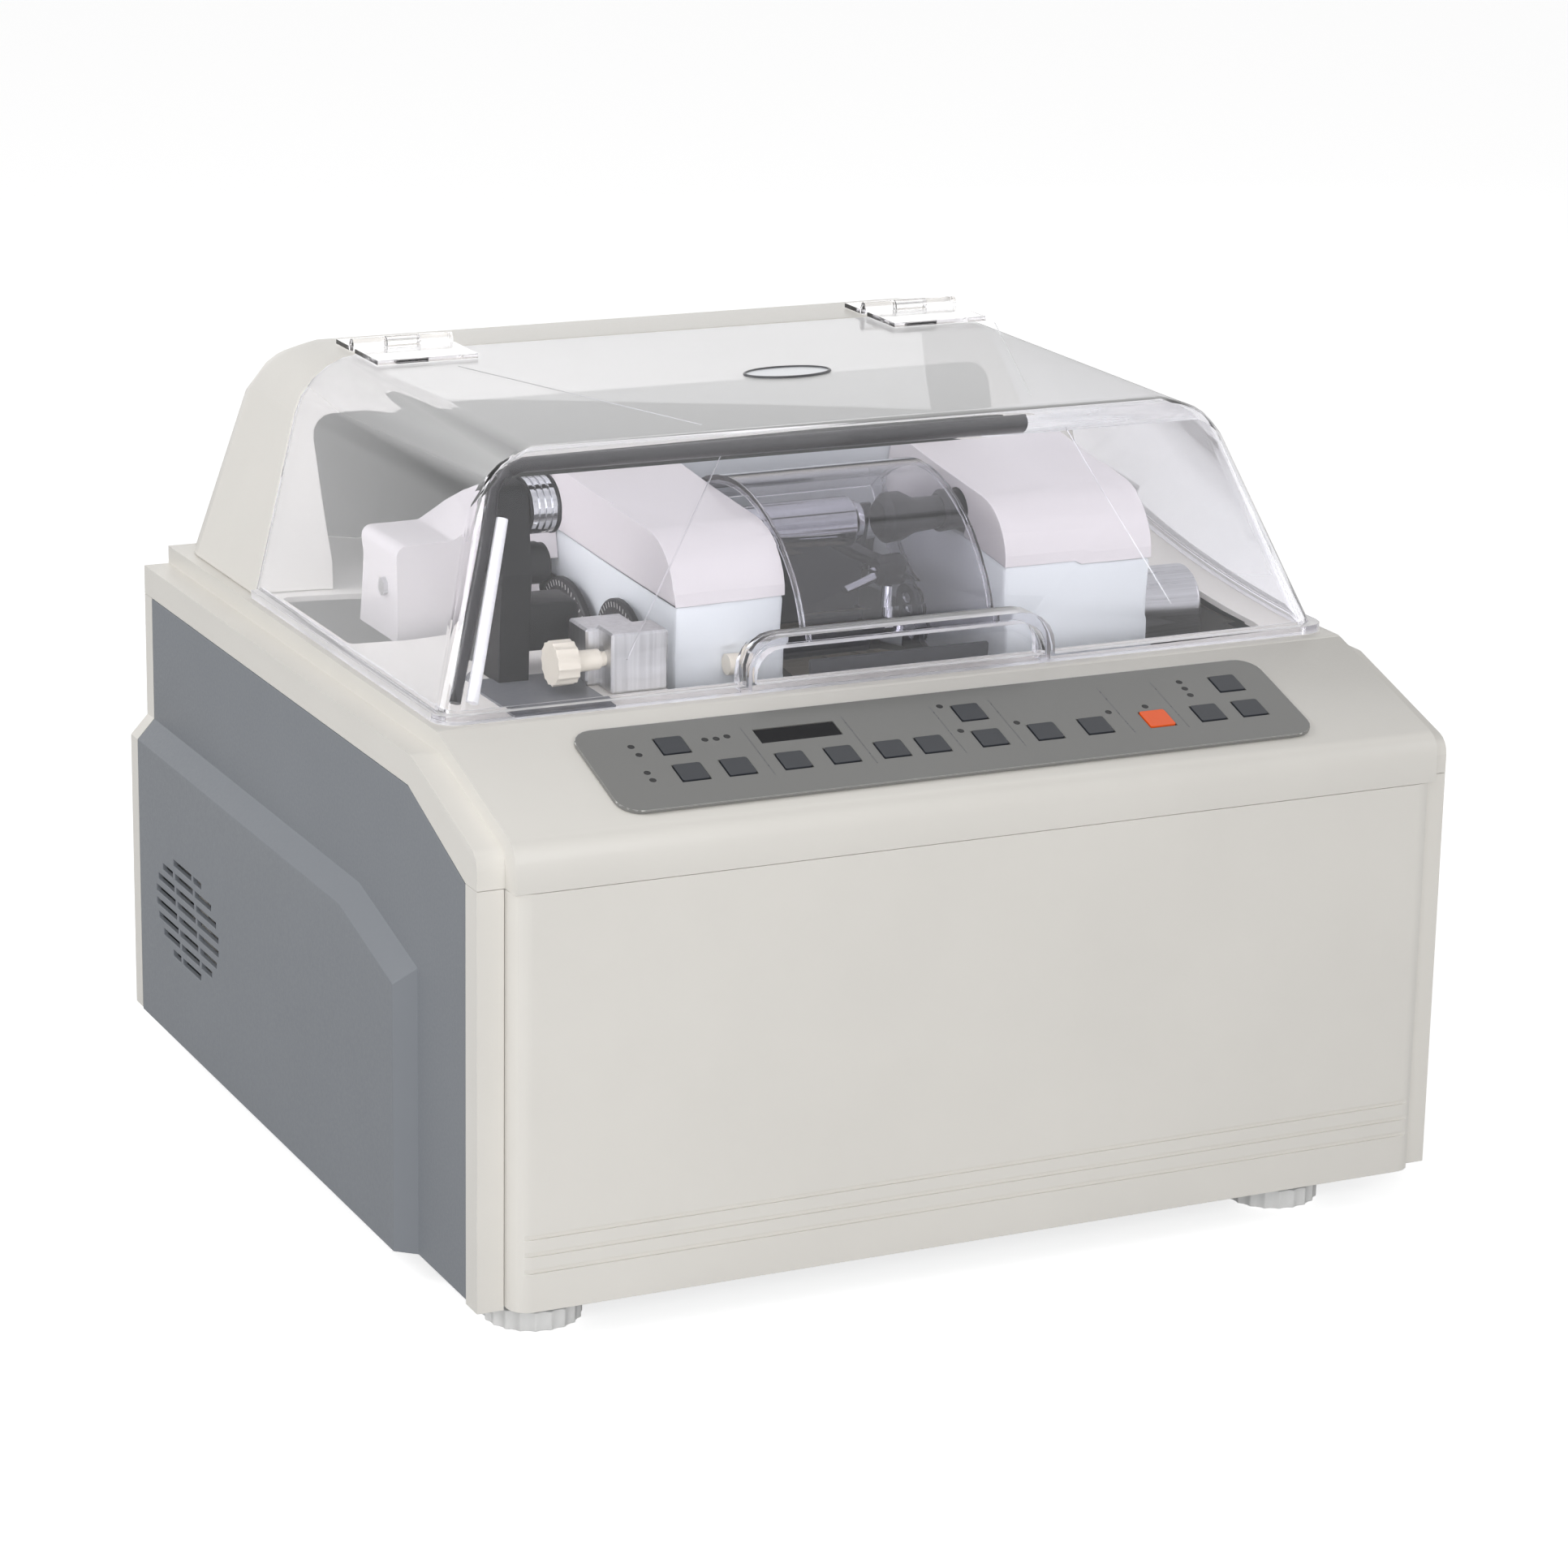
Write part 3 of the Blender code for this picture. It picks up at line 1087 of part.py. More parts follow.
def grinding_wheels():
    total = sum(WHEEL_WIDTHS)
    start = (CHAMBER_LEFT + CHAMBER_RIGHT) / 2 - total / 2
    rough, finish, bevel_wheel = WHEEL_WIDTHS
    groove = start + rough + finish + bevel_wheel / 2
    profile = [
        (start, WHEEL_RADIUS),
        (start + rough - 0.001, WHEEL_RADIUS),
        (start + rough - 0.001, WHEEL_RADIUS - 0.004),
        (start + rough + 0.001, WHEEL_RADIUS - 0.004),
        (start + rough + 0.001, WHEEL_RADIUS),
        (start + rough + finish - 0.001, WHEEL_RADIUS),
        (start + rough + finish - 0.001, WHEEL_RADIUS - 0.004),
        (start + rough + finish + 0.001, WHEEL_RADIUS - 0.004),
        (start + rough + finish + 0.001, WHEEL_RADIUS),
        (groove - 0.003, WHEEL_RADIUS),
        (groove, WHEEL_RADIUS - 0.003),
        (groove + 0.003, WHEEL_RADIUS),
        (start + total, WHEEL_RADIUS),
    ]
    wheels = turned("grinding_wheels", profile, "x", SPINDLE, DIAMOND, 30)
    bore = [(-0.2, SPINDLE_RADIUS + GAP), (0.2, SPINDLE_RADIUS + GAP)]
    cut(wheels, turned("wheel_bore", bore, "x", SPINDLE, steps=24))


MOTOR_AXIS = (0, MOTOR_Y, MOTOR_Z)


def grinding_motor():
    end = PULLEY_START - 0.008
    start = end - MOTOR_LENGTH
    profile = [
        (start, MOTOR_RADIUS - 0.010),
        (start + 0.006, MOTOR_RADIUS),
        (end - 0.006, MOTOR_RADIUS),
        (end, MOTOR_RADIUS - 0.010),
    ]
    motor = turned("grinding_motor", profile, "x", MOTOR_AXIS, BLACK_METAL, 32)
    for index, x in enumerate((start + 0.020, end - 0.040)):
        join(motor, block(f"motor_foot_{index}", (x, MOTOR_Y - 0.045, WALL + GAP),
                          (x + 0.020, MOTOR_Y + 0.045, 0.022)))
    cut(motor, turned("motor_bore", [(end - 0.030, 0.007 + GAP), (end + 0.01, 0.007 + GAP)], "x", MOTOR_AXIS,
                      steps=20))


def motor_pulley():
    profile = [
        (PULLEY_START - 0.008 - 0.028, 0.007),
        (PULLEY_START, 0.007),
        (PULLEY_START, MOTOR_PULLEY + 0.004),
        (PULLEY_START + 0.002, MOTOR_PULLEY + 0.004),
        (PULLEY_START + 0.002, MOTOR_PULLEY),
        (PULLEY_START + PULLEY_WIDTH - 0.002, MOTOR_PULLEY),
        (PULLEY_START + PULLEY_WIDTH - 0.002, MOTOR_PULLEY + 0.004),
        (PULLEY_START + PULLEY_WIDTH, MOTOR_PULLEY + 0.004),
    ]
    turned("motor_pulley", profile, "x", MOTOR_AXIS, ALUMINIUM, 28)


def belt_path(extra, steps=14):
    """The loop round both pulleys at a distance outside them, as (y, z)."""
    small, large = Vector((WHEEL_Y, WHEEL_Z)), Vector((MOTOR_Y, MOTOR_Z))
    radii = SPINDLE_PULLEY + extra, MOTOR_PULLEY + extra
    run = small - large
    base = atan2(run.y, run.x)
    spread = pi / 2 - atan2(radii[1] - radii[0], (run.length ** 2 - (radii[1] - radii[0]) ** 2) ** 0.5)
    top = arc(small, radii[0], base - spread, base + spread, steps)
    return top + arc(large, radii[1], base + spread, base - spread + 2 * pi, steps)


def drive_belt():
    inner, outer = GAP, GAP + BELT
    start = PULLEY_START + 0.002 + GAP
    end = PULLEY_START + PULLEY_WIDTH - 0.002 - GAP
    prism("drive_belt", [belt_path(outer), belt_path(inner)], "x", start, end, RUBBER)


# Water nozzle: a black hub on an arm from the chamber's back plate, with two bent tubes
def water_nozzle():
    centre = (0.029 * ACROSS, LENS_Y - 0.029, PLATFORM_HEIGHT + 0.031)
    nozzle = turned("water_nozzle", [(-0.008, 0.006), (-0.006, 0.0085), (0.006, 0.0085), (0.008, 0.006)], "x",
                    centre, BLACK_METAL, 18)
    arm = block("nozzle_arm", (centre[0] - 0.004, centre[1], centre[2] - 0.004),
                (centre[0] + 0.004, CHAMBER_REAR - WALL - GAP, centre[2] + 0.003))
    join(nozzle, arm)
    tubes = ((-0.95, -0.15, -0.25), 0.026), ((-0.15, -0.25, -0.95), 0.022)
    for index, (direction, length) in enumerate(tubes):
        axis = Vector(direction).normalized()
        bm = bmesh.new()
        turn = axis.to_track_quat("Z", "Y").to_matrix().to_4x4()
        middle = Matrix.Translation(axis * (length / 2 + 0.003))
        bmesh.ops.create_cone(bm, cap_ends=True, segments=12, radius1=0.0026, radius2=0.0026, depth=length,
                              matrix=middle @ turn)
        join(nozzle, place(f"nozzle_tube_{index}", mesh_from(bm, f"nozzle_tube_{index}"), None, centre))


# Pattern unit on the left: bracket, knobs, dials, rest block and thumb screw
BRACKET_X = (-0.1965 * ACROSS, -0.1805 * ACROSS)
BRACKET_Y = LENS_Y - 0.027
CHROME_KNOB_Z = PLATFORM_HEIGHT + 0.0865
BLACK_KNOB_Z = PLATFORM_HEIGHT + 0.0565
ARM = (PLATFORM_HEIGHT + 0.011, PLATFORM_HEIGHT + 0.035)


def pattern_bracket():
    seat = PLATFORM_HEIGHT + GAP
    upright = [
        (BRACKET_Y - 0.012, seat),
        (BRACKET_Y - 0.018, BLACK_KNOB_Z),
        (BRACKET_Y - 0.012, CHROME_KNOB_Z + 0.014, 0.008),
        (BRACKET_Y + 0.012, CHROME_KNOB_Z + 0.014, 0.008),
        (BRACKET_Y + 0.020, BLACK_KNOB_Z),
        (BRACKET_Y + 0.032, seat),
    ]
    bracket = prism("pattern_bracket", [rounded(upright, 4)], "x", *BRACKET_X, BLACK_METAL)
    arm = bevel(block("bracket_arm", (BRACKET_X[1] - 0.002, BRACKET_Y, ARM[0]),
                      (BRACKET_X[1] + 0.034, BRACKET_Y + 0.024, ARM[1])), 0.003, 2)
    join(bracket, arm)
    for index, z in enumerate((CHROME_KNOB_Z, BLACK_KNOB_Z)):
        cut(bracket, turned(f"bracket_bore_{index}", [(-0.3, 0.003 + GAP), (-0.1, 0.003 + GAP)], "x",
                            (0, BRACKET_Y, z), steps=16))


def bracket_knob(name, height, radius, length, finish, grooves):
    """A knob beside the bracket with its spindle through it, turning about X."""
    start = BRACKET_X[1] + GAP
    neck = radius * 0.7
    profile = [(BRACKET_X[0] - 0.003, 0.003), (start, 0.003), (start, neck), (start + 0.002, neck)]
    here = start + 0.002
    pitch = (length - 0.002) / max(grooves, 1)
    for _ in range(max(grooves, 1)):
        profile += [(here, radius), (here + pitch * 0.7, radius), (here + pitch * 0.7, radius - 0.0008),
                    (here + pitch, radius - 0.0008)]
        here += pitch
    turned(name, profile, "x", (0, BRACKET_Y, height), finish, 24)


def dial(name, x, y, z):
    """A graduated disc on a boss that reaches back to its carrier."""
    profile = [(x - 0.004, DIAL_RADIUS - 0.001), (x - 0.003, DIAL_RADIUS), (x, DIAL_RADIUS), (x, 0.010)]
    return turned(name, profile + [(LEFT_HEAD[0] - GAP, 0.010)], "x", (0, y, z), BLACK_PLASTIC, 32)


def dials():
    dial("size_dial", *SIZE_DIAL)
    dial("bevel_dial", *BEVEL_DIAL)


REST = (-0.151 * ACROSS, -0.120 * ACROSS, LENS_Y - 0.075, LENS_Y - 0.055, PLATFORM_HEIGHT + 0.031)
REST_STEP = (-0.157 * ACROSS, -0.1285 * ACROSS, LENS_Y - 0.035, PLATFORM_HEIGHT + 0.0295)
SCREW_Y = LENS_Y - 0.065
SCREW_Z = PLATFORM_HEIGHT + 0.016
SCREW_STEM = 0.017


def pattern_rest():
    seat = PLATFORM_HEIGHT + GAP
    left, right, front, rear, top = REST
    rest = bevel(block("pattern_rest", (left, front, seat), (right, rear, top), ALUMINIUM), 0.0012, 1)
    step_left, step_right, step_rear, step_top = REST_STEP
    join(rest, bevel(block("rest_step", (step_left, rear - 0.002, seat), (step_right, step_rear, step_top)),
                     0.0012, 1))
    cut(rest, turned("rest_bore", [(REST[0] - 0.01, 0.004 + GAP), (REST[0] + 0.022, 0.004 + GAP)], "x",
                     (0, SCREW_Y, SCREW_Z), steps=20))


def thumb_screw():
    centre = (REST[0], SCREW_Y, SCREW_Z)
    head = [tuple(Vector(point) + Vector(centre[1:])) for point in knobbed(0.0118, 0.0012, 14, 3)]
    end = centre[0] - SCREW_STEM
    screw = prism("thumb_screw", [head], "x", end - 0.012, end, IVORY, centre)
    stem = [(-SCREW_STEM - 0.001, 0.0055), (-0.003, 0.0055), (-0.003, 0.004), (0.020, 0.004)]
    join(screw, turned("thumb_screw_stem", stem,
                       "x", centre, steps=20))


# Cooling fan behind the left vent
def fan_rotor():
    centre = (-(FRAME_INNER - FAN_SETBACK), VENT_CENTRE_Y, VENT_CENTRE_Z)
    bar = SHROUD_DEPTH - WALL - FAN_SETBACK
    profile = [(-0.006, 0.009), (bar - 0.0015, 0.009), (bar - 0.0015, FAN_SHAFT_RADIUS),
               (bar + WALL / 2, FAN_SHAFT_RADIUS)]
    rotor = turned("fan_rotor", profile, "x", centre, BLACK_PLASTIC, 20)
    for index in range(7):
        bm = bmesh.new()
        bmesh.ops.create_cube(bm, size=1)
        bmesh.ops.scale(bm, vec=(0.0012, 0.012, FAN_RADIUS - 0.007), verts=bm.verts)
        bmesh.ops.rotate(bm, matrix=Matrix.Rotation(radians(40), 3, "Z"), verts=bm.verts)
        bmesh.ops.translate(bm, vec=(0, 0, 0.007 + (FAN_RADIUS - 0.007) / 2), verts=bm.verts)
        bmesh.ops.rotate(bm, matrix=Matrix.Rotation(2 * pi * index / 7, 3, "X"), verts=bm.verts)
        join(rotor, place(f"fan_blade_{index}", mesh_from(bm, f"fan_blade_{index}"), None, centre))


# Control face
def slope_point(distance):
    """Distance along the slope for a distance back from the front."""
    return distance / cos(SLOPE_ANGLE)


def control_face_pieces():
    centre = (PANEL_CENTRE[0], slope_point(PANEL_CENTRE[1]))
    size = (PANEL_SIZE[0], slope_point(PANEL_SIZE[1]))
    outlines = [rounded(rectangle(centre, size, PANEL_RADIUS), 5)]
    places = [(x * ACROSS, KEY_FRONT_ROW) for x in KEYS_FRONT]
    places += [(x * ACROSS, KEY_REAR_ROW) for x in KEYS_REAR]
    hole = KEY_SIZE + 2 * KEY_CLEARANCE
    for x, y in places:
        outlines.append(rounded(rectangle((x, slope_point(y)), (hole, hole))))
    display = (DISPLAY_CENTRE[0], slope_point(DISPLAY_CENTRE[1]))
    opening = (DISPLAY_SIZE[0] + 2 * KEY_CLEARANCE, DISPLAY_SIZE[1] + 2 * KEY_CLEARANCE)
    outlines.append(rounded(rectangle(display, opening)))
    prism("control_panel", outlines, "z", GAP, GAP + PANEL_THICKNESS, MEMBRANE, parent=control_face)
    prism("display_window", [rounded(rectangle(display, DISPLAY_SIZE))], "z", GAP,
          GAP + PANEL_THICKNESS - 0.0004,
          WINDOW_DARK, parent=control_face)
    for index, (x, y) in enumerate(places, 1):
        spot = (x, slope_point(y))
        finish = KEY_ORANGE if index == START_KEY else KEY_DARK
        outline = rounded(rectangle(spot, (KEY_SIZE, KEY_SIZE), 0.0012), 2)
        prism(f"key_{index:02d}", [outline], "z", KEY_SEAT, KEY_SEAT + KEY_THICKNESS, finish,
              (*spot, KEY_SEAT), control_face)


# Feet: fluted discs under the tray
def feet():
    spots = {
        "foot_front_left": (-HALF_BODY + FOOT_INSET - 0.012, FOOT_INSET),
        "foot_front_right": (HALF_BODY - FOOT_INSET - 0.030, FOOT_INSET),
        "foot_rear_left": (-HALF_BODY + FOOT_INSET - 0.012, CABINET_DEPTH - FOOT_INSET - 0.012),
        "foot_rear_right": (HALF_BODY - FOOT_INSET - 0.030, CABINET_DEPTH - FOOT_INSET - 0.012),
    }
    for name, (x, y) in spots.items():
        outline = [tuple(Vector(point) + Vector((x, y))) for point in knobbed(FOOT_RADIUS, 0.0016, 20, 3)]
        foot = prism(name, [outline], "z", -FOOT_HEIGHT, -0.006, FOOT_WHITE, (x, y, 0))
        stem = [(-0.0065, FOOT_RADIUS - 0.006), (-GAP, FOOT_RADIUS - 0.006)]
        join(foot, turned(name + "_stem", stem, "z", (x, y, 0),
                          steps=24))


base_tray()
front_panel()
for label, side in (("left", -1), ("right", 1)):
    side_frame(label, side)
    side_panel(label, side)
rear_panel()
power_inlet()
power_switch()
top_deck()
rear_hood()
lid()
hinges()
carriage_frame()
head_cover("left", *LEFT_HEAD, [(LEFT_HEAD[0] + 0.003, LEFT_HEAD[1] + 0.001, LENS_SHAFT_RADIUS)])
head_cover("right", *RIGHT_HEAD, [(RIGHT_HEAD[0] - 0.01, RIGHT_HEAD[0] + 0.046 + GAP, QUILL_RADIUS)])
left_lens_shaft()
clamp_quill()
right_lens_shaft()
clamp_motor()
splash_visor()
grinding_chamber()
grinding_spindle()
grinding_wheels()
grinding_motor()
motor_pulley()
drive_belt()
water_nozzle()
pattern_bracket()
bracket_knob("chrome_knob", CHROME_KNOB_Z, 0.0145, 0.016, CHROME, 4)
bracket_knob("black_knob", BLACK_KNOB_Z, 0.0105, 0.014, BLACK_PLASTIC, 1)
dials()
pattern_rest()
thumb_screw()
fan_rotor()
control_face_pieces()
feet()
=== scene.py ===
"""Bench-top optical lens edger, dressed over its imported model.

The script follows the machine as it is put together: cabinet and hood, side panels, feet, back,
control face, drive and chamber, carriage, pattern unit, clear lid and visor. Sizes are metres.
"""

import json
from math import cos, pi, radians, sin

import bmesh
import bpy
from mathutils import Matrix, Vector

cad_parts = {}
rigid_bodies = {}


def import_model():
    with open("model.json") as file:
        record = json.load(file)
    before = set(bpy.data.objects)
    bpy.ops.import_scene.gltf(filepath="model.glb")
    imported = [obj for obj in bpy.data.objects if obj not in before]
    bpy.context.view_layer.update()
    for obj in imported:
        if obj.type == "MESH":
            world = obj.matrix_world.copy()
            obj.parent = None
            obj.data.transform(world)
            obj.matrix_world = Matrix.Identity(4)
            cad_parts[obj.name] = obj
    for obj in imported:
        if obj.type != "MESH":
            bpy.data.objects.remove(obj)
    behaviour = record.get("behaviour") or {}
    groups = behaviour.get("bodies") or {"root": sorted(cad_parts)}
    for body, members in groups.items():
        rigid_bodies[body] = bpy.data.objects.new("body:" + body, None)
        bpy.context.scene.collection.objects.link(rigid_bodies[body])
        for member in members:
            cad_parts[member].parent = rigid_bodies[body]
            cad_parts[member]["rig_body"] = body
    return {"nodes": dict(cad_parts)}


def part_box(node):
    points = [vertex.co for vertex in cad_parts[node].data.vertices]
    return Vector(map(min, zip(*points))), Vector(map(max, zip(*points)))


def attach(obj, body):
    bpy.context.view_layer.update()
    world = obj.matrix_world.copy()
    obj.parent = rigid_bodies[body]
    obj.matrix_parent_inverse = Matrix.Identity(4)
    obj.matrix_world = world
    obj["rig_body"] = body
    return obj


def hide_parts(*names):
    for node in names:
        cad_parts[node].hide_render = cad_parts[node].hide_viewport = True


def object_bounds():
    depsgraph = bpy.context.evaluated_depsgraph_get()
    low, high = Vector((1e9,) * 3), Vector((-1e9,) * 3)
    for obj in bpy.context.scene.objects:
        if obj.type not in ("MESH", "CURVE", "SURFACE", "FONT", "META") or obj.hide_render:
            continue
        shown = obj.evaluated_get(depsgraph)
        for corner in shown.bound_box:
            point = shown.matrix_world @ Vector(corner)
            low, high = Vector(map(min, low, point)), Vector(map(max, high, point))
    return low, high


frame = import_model()
cad_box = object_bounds()
nodes = frame["nodes"]

# View, lamps and floor.
# A long lens from the front left, a little above the lid, as in a catalogue picture: plain white
# room, a broad soft box in front, weaker ones at the sides, little from above, and a thin strip
# that only glossy edges show.


def linear(code):
    """A hex sRGB colour as linear red, green, blue and alpha."""
    parts = [int(code[at:at + 2], 16) / 255 for at in (0, 2, 4)]
    return (*[c / 12.92 if c <= 0.04045 else ((c + 0.055) / 1.055) ** 2.4 for c in parts], 1.0)


def add(tree, kind, inputs=None, **settings):
    """Adds one node; an input is a value, or another node's socket to link from."""
    node = tree.nodes.new(kind)
    for name, value in settings.items():
        setattr(node, name, value)
    for name, value in (inputs or {}).items():
        if isinstance(value, bpy.types.NodeSocket):
            tree.links.new(value, node.inputs[name])
        else:
            node.inputs[name].default_value = value
    return node


def new_finish(name):
    """An empty material and its tree."""
    made = bpy.data.materials.new(name)
    made.use_nodes = True
    made.node_tree.nodes.clear()
    return made, made.node_tree


azimuth, elevation, roll = radians(-25.64), radians(16.41), radians(1.06)
view_from = (-1.07091, -2.24467, 0.91834)
back = Vector((sin(azimuth) * cos(elevation), -cos(azimuth) * cos(elevation), sin(elevation)))
level = (-back).cross(Vector((0, 0, 1))).normalized()
upright = level.cross(-back)
across = level * cos(roll) + upright * sin(roll)
upward = upright * cos(roll) - level * sin(roll)
lens = bpy.data.cameras.new("view_lens")
lens.lens = 109.87
lens.sensor_width = 36
lens.clip_end = 50
viewer = bpy.data.objects.new("view", lens)
viewer.matrix_world = (
    Matrix.Translation(view_from) @ Matrix((across, upward, back)).transposed().to_4x4())
bpy.context.scene.collection.objects.link(viewer)
bpy.context.scene.camera = viewer

# Each lamp has its place, width, height and watts, and says whether it also lights matt faces.
soft_boxes = (
    ("front_box", (-0.9, -2.9, 0.9), 2.2, 2.2, 47, True),
    ("top_box", (0.0, 0.1, 2.4), 2.0, 2.0, 3, True),
    ("right_box", (2.4, -0.6, 1.0), 1.0, 1.0, 9, True),
    ("left_box", (-2.3, 0.3, 1.8), 1.2, 1.2, 29, True),
    ("rear_box", (0.5, 2.8, 0.7), 2.0, 1.2, 5, True),
    ("corner_strip", (-1.9, -1.3, 0.7), 0.10, 1.6, 12, False),
)
lamps_aim = Vector((0, 0, 0.2))
for name, spot, width, height, power, on_matt in soft_boxes:
    lamp = bpy.data.lights.new(name, "AREA")
    lamp.shape = "RECTANGLE"
    lamp.size = width
    lamp.size_y = height
    lamp.energy = power
    stand = bpy.data.objects.new(name, lamp)
    stand.visible_diffuse = on_matt
    stand.location = spot
    stand.rotation_euler = (lamps_aim - Vector(spot)).to_track_quat("-Z", "Y").to_euler()
    bpy.context.scene.collection.objects.link(stand)

# The room is plain white where it is seen, mirrored or looked through, and fills shadows weakly.
room = bpy.data.worlds.new("white_room")
room.use_nodes = True
bpy.context.scene.world = room
tree = room.node_tree
tree.nodes.clear()
ray = add(tree, "ShaderNodeLightPath")
seen = add(tree, "ShaderNodeMath", {
    0: ray.outputs["Is Camera Ray"], 1: ray.outputs["Is Glossy Ray"]}, operation="MAXIMUM")
seen = add(tree, "ShaderNodeMath", {
    0: seen.outputs[0], 1: ray.outputs["Is Transmission Ray"]}, operation="MAXIMUM")
fill = add(tree, "ShaderNodeBackground", {"Color": linear("FFFFFF"), "Strength": 0.27})
paper = add(tree, "ShaderNodeBackground", {"Color": linear("FFFFFF"), "Strength": 1.0})
mixed = add(tree, "ShaderNodeMixShader", {
    0: seen.outputs[0], 1: fill.outputs[0], 2: paper.outputs[0]})
add(tree, "ShaderNodeOutputWorld", {"Surface": mixed.outputs[0]})

bpy.context.scene.view_settings.view_transform = "Standard"

# The floor is white paper to the eye and matt grey to the light, so that the feet's shadow stays.
floor_mesh = bpy.data.meshes.new("floor")
floor_mesh.from_pydata([(-6, -6, 0), (6, -6, 0), (6, 6, 0), (-6, 6, 0)], [], [(0, 1, 2, 3)])
floor = bpy.data.objects.new("floor", floor_mesh)
bpy.context.scene.collection.objects.link(floor)
white_paper, tree = new_finish("white_paper_sweep")
ray = add(tree, "ShaderNodeLightPath")
cloth = add(tree, "ShaderNodeBsdfPrincipled", {"Base Color": linear("D8D8D8"), "Roughness": 0.9})
glow = add(tree, "ShaderNodeEmission", {"Color": linear("FFFFFF"), "Strength": 0.72})
lit = add(tree, "ShaderNodeAddShader", {0: cloth.outputs[0], 1: glow.outputs[0]})
seen = add(tree, "ShaderNodeMath", {
    0: ray.outputs["Is Camera Ray"], 1: ray.outputs["Is Transmission Ray"]}, operation="MAXIMUM")
either = add(tree, "ShaderNodeMixShader", {
    0: seen.outputs[0], 1: cloth.outputs[0], 2: lit.outputs[0]})
add(tree, "ShaderNodeOutputMaterial", {"Surface": either.outputs[0]})
floor_mesh.materials.append(white_paper)

# Cabinet mouldings: front panel, side frames, top moulding and hood.
# Injection-moulded ABS, 3 mm thick, with a fine spark-eroded texture in the mould, which also
# rounds the edges. The pieces hook into each other and are screwed to the tray from inside.


def mapped(tree, value, start, end):
    """A noise value, which mostly lies between 0.3 and 0.7, spread from start to end."""
    return add(tree, "ShaderNodeMapRange", {0: value, 1: 0.3, 2: 0.7, 3: start, 4: end}).outputs[0]


def tinted(tree, colour, tone):
    """A hex colour darkened by a tone; the node's inputs 6 and 7 are its two colours."""
    return add(tree, "ShaderNodeMix", {0: 1.0, 6: linear(colour), 7: tone},
               data_type="RGBA", blend_type="MULTIPLY").outputs[2]


def moulded(name, colour, roughness, grain, depth, mottle=0.03, gloss=0.5):
    """Moulded plastic or paint: grain is the texture's pitch in metres, depth its height.

    Mottle darkens clouds of about 70 mm by that share, and the texture varies the roughness by
    twice as much. Most real textures here are 0.1 to 0.3 mm, too fine to show, so they are drawn
    at 0.6 to 1.2 mm.
    """
    made, tree = new_finish(name)
    place = add(tree, "ShaderNodeTexCoord").outputs["Object"]
    cloud = add(tree, "ShaderNodeTexNoise", {"Vector": place, "Scale": 14.0, "Detail": 3.0})
    tone = mapped(tree, cloud.outputs[0], 1 - mottle, 1.0)
    pits = add(tree, "ShaderNodeTexNoise", {
        "Vector": place, "Scale": 0.5 / grain, "Detail": 2.0, "Roughness": 0.6}).outputs[0]
    relief = add(tree, "ShaderNodeBump", {"Height": pits, "Distance": depth, "Strength": 1.0})
    skin = add(tree, "ShaderNodeBsdfPrincipled", {
        "Base Color": tinted(tree, colour, tone),
        "Roughness": mapped(tree, pits, roughness - 2 * mottle, roughness + 2 * mottle),
        "Normal": relief.outputs[0], "IOR": 1.52, "Specular IOR Level": gloss})
    add(tree, "ShaderNodeOutputMaterial", {"Surface": skin.outputs[0]})
    return made


def dressed(node, finish, width, segments=2, inside_finish=None):
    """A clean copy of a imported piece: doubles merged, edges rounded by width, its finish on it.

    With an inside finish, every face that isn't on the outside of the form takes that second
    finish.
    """
    same_place = 0.00001
    same_plane = radians(0.6)
    edge_angle = radians(28)
    outside_slack = 0.012
    body = nodes[node]["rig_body"]
    bm = bmesh.new()
    bm.from_mesh(nodes[node].data)
    bmesh.ops.remove_doubles(bm, verts=bm.verts, dist=same_place)
    bmesh.ops.dissolve_limit(bm, angle_limit=same_plane, verts=bm.verts, edges=bm.edges)
    for face in bm.faces:
        face.smooth = True
        if inside_finish:
            middle = face.calc_center_median()
            outside = all(
                (vert.co - middle).dot(face.normal) < outside_slack for vert in bm.verts)
            face.material_index = 0 if outside else 1
    mesh = bpy.data.meshes.new(node + "_skin")
    bm.to_mesh(mesh)
    bm.free()
    mesh.set_sharp_from_angle(angle=edge_angle)
    mesh.materials.append(finish)
    if inside_finish:
        mesh.materials.append(inside_finish)
    piece = bpy.data.objects.new(node + "_skin", mesh)
    bpy.context.scene.collection.objects.link(piece)
    rounding = piece.modifiers.new("rounded edges", "BEVEL")
    rounding.width = width
    rounding.segments = segments
    rounding.limit_method = "ANGLE"
    rounding.angle_limit = edge_angle
    rounding.harden_normals = True
    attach(piece, body)
    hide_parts(node)


# Warm white ABS: the texture breaks up the gloss, and the skin is mottled very slightly.
warm_abs = moulded("abs_warm_white_textured", "E8E5DF", 0.42, 0.0008, 0.00002)
# The hood's inside faces take a nearly matt dark grey: painted shade, so that it reads as a dark
# room behind the lid.
painted_shade_inside = moulded("abs_grey_painted_shade_inside", "616460", 0.5, 0.0012, 0.00002, gloss=0.3)
dressed("front_panel", warm_abs, 0.0006)
dressed("top_deck", warm_abs, 0.0012, 3)
dressed("left_side_frame", warm_abs, 0.0008)
dressed("right_side_frame", warm_abs, 0.0008)
dressed("rear_hood", warm_abs, 0.0010, inside_finish=painted_shade_inside)

# Side panels: one ABS moulding each, bulged out and louvred, screwed on from inside.
# The same mould texture as on the white shells, a little coarser, in a blue grey. It gives a dull
# skin that brightens towards the lamps.
grey_abs = moulded("abs_blue_grey_textured", "83878D", 0.45, 0.0009, 0.00003, gloss=0.4)
dressed("left_side_panel", grey_abs, 0.0008)
dressed("right_side_panel", grey_abs, 0.0008)

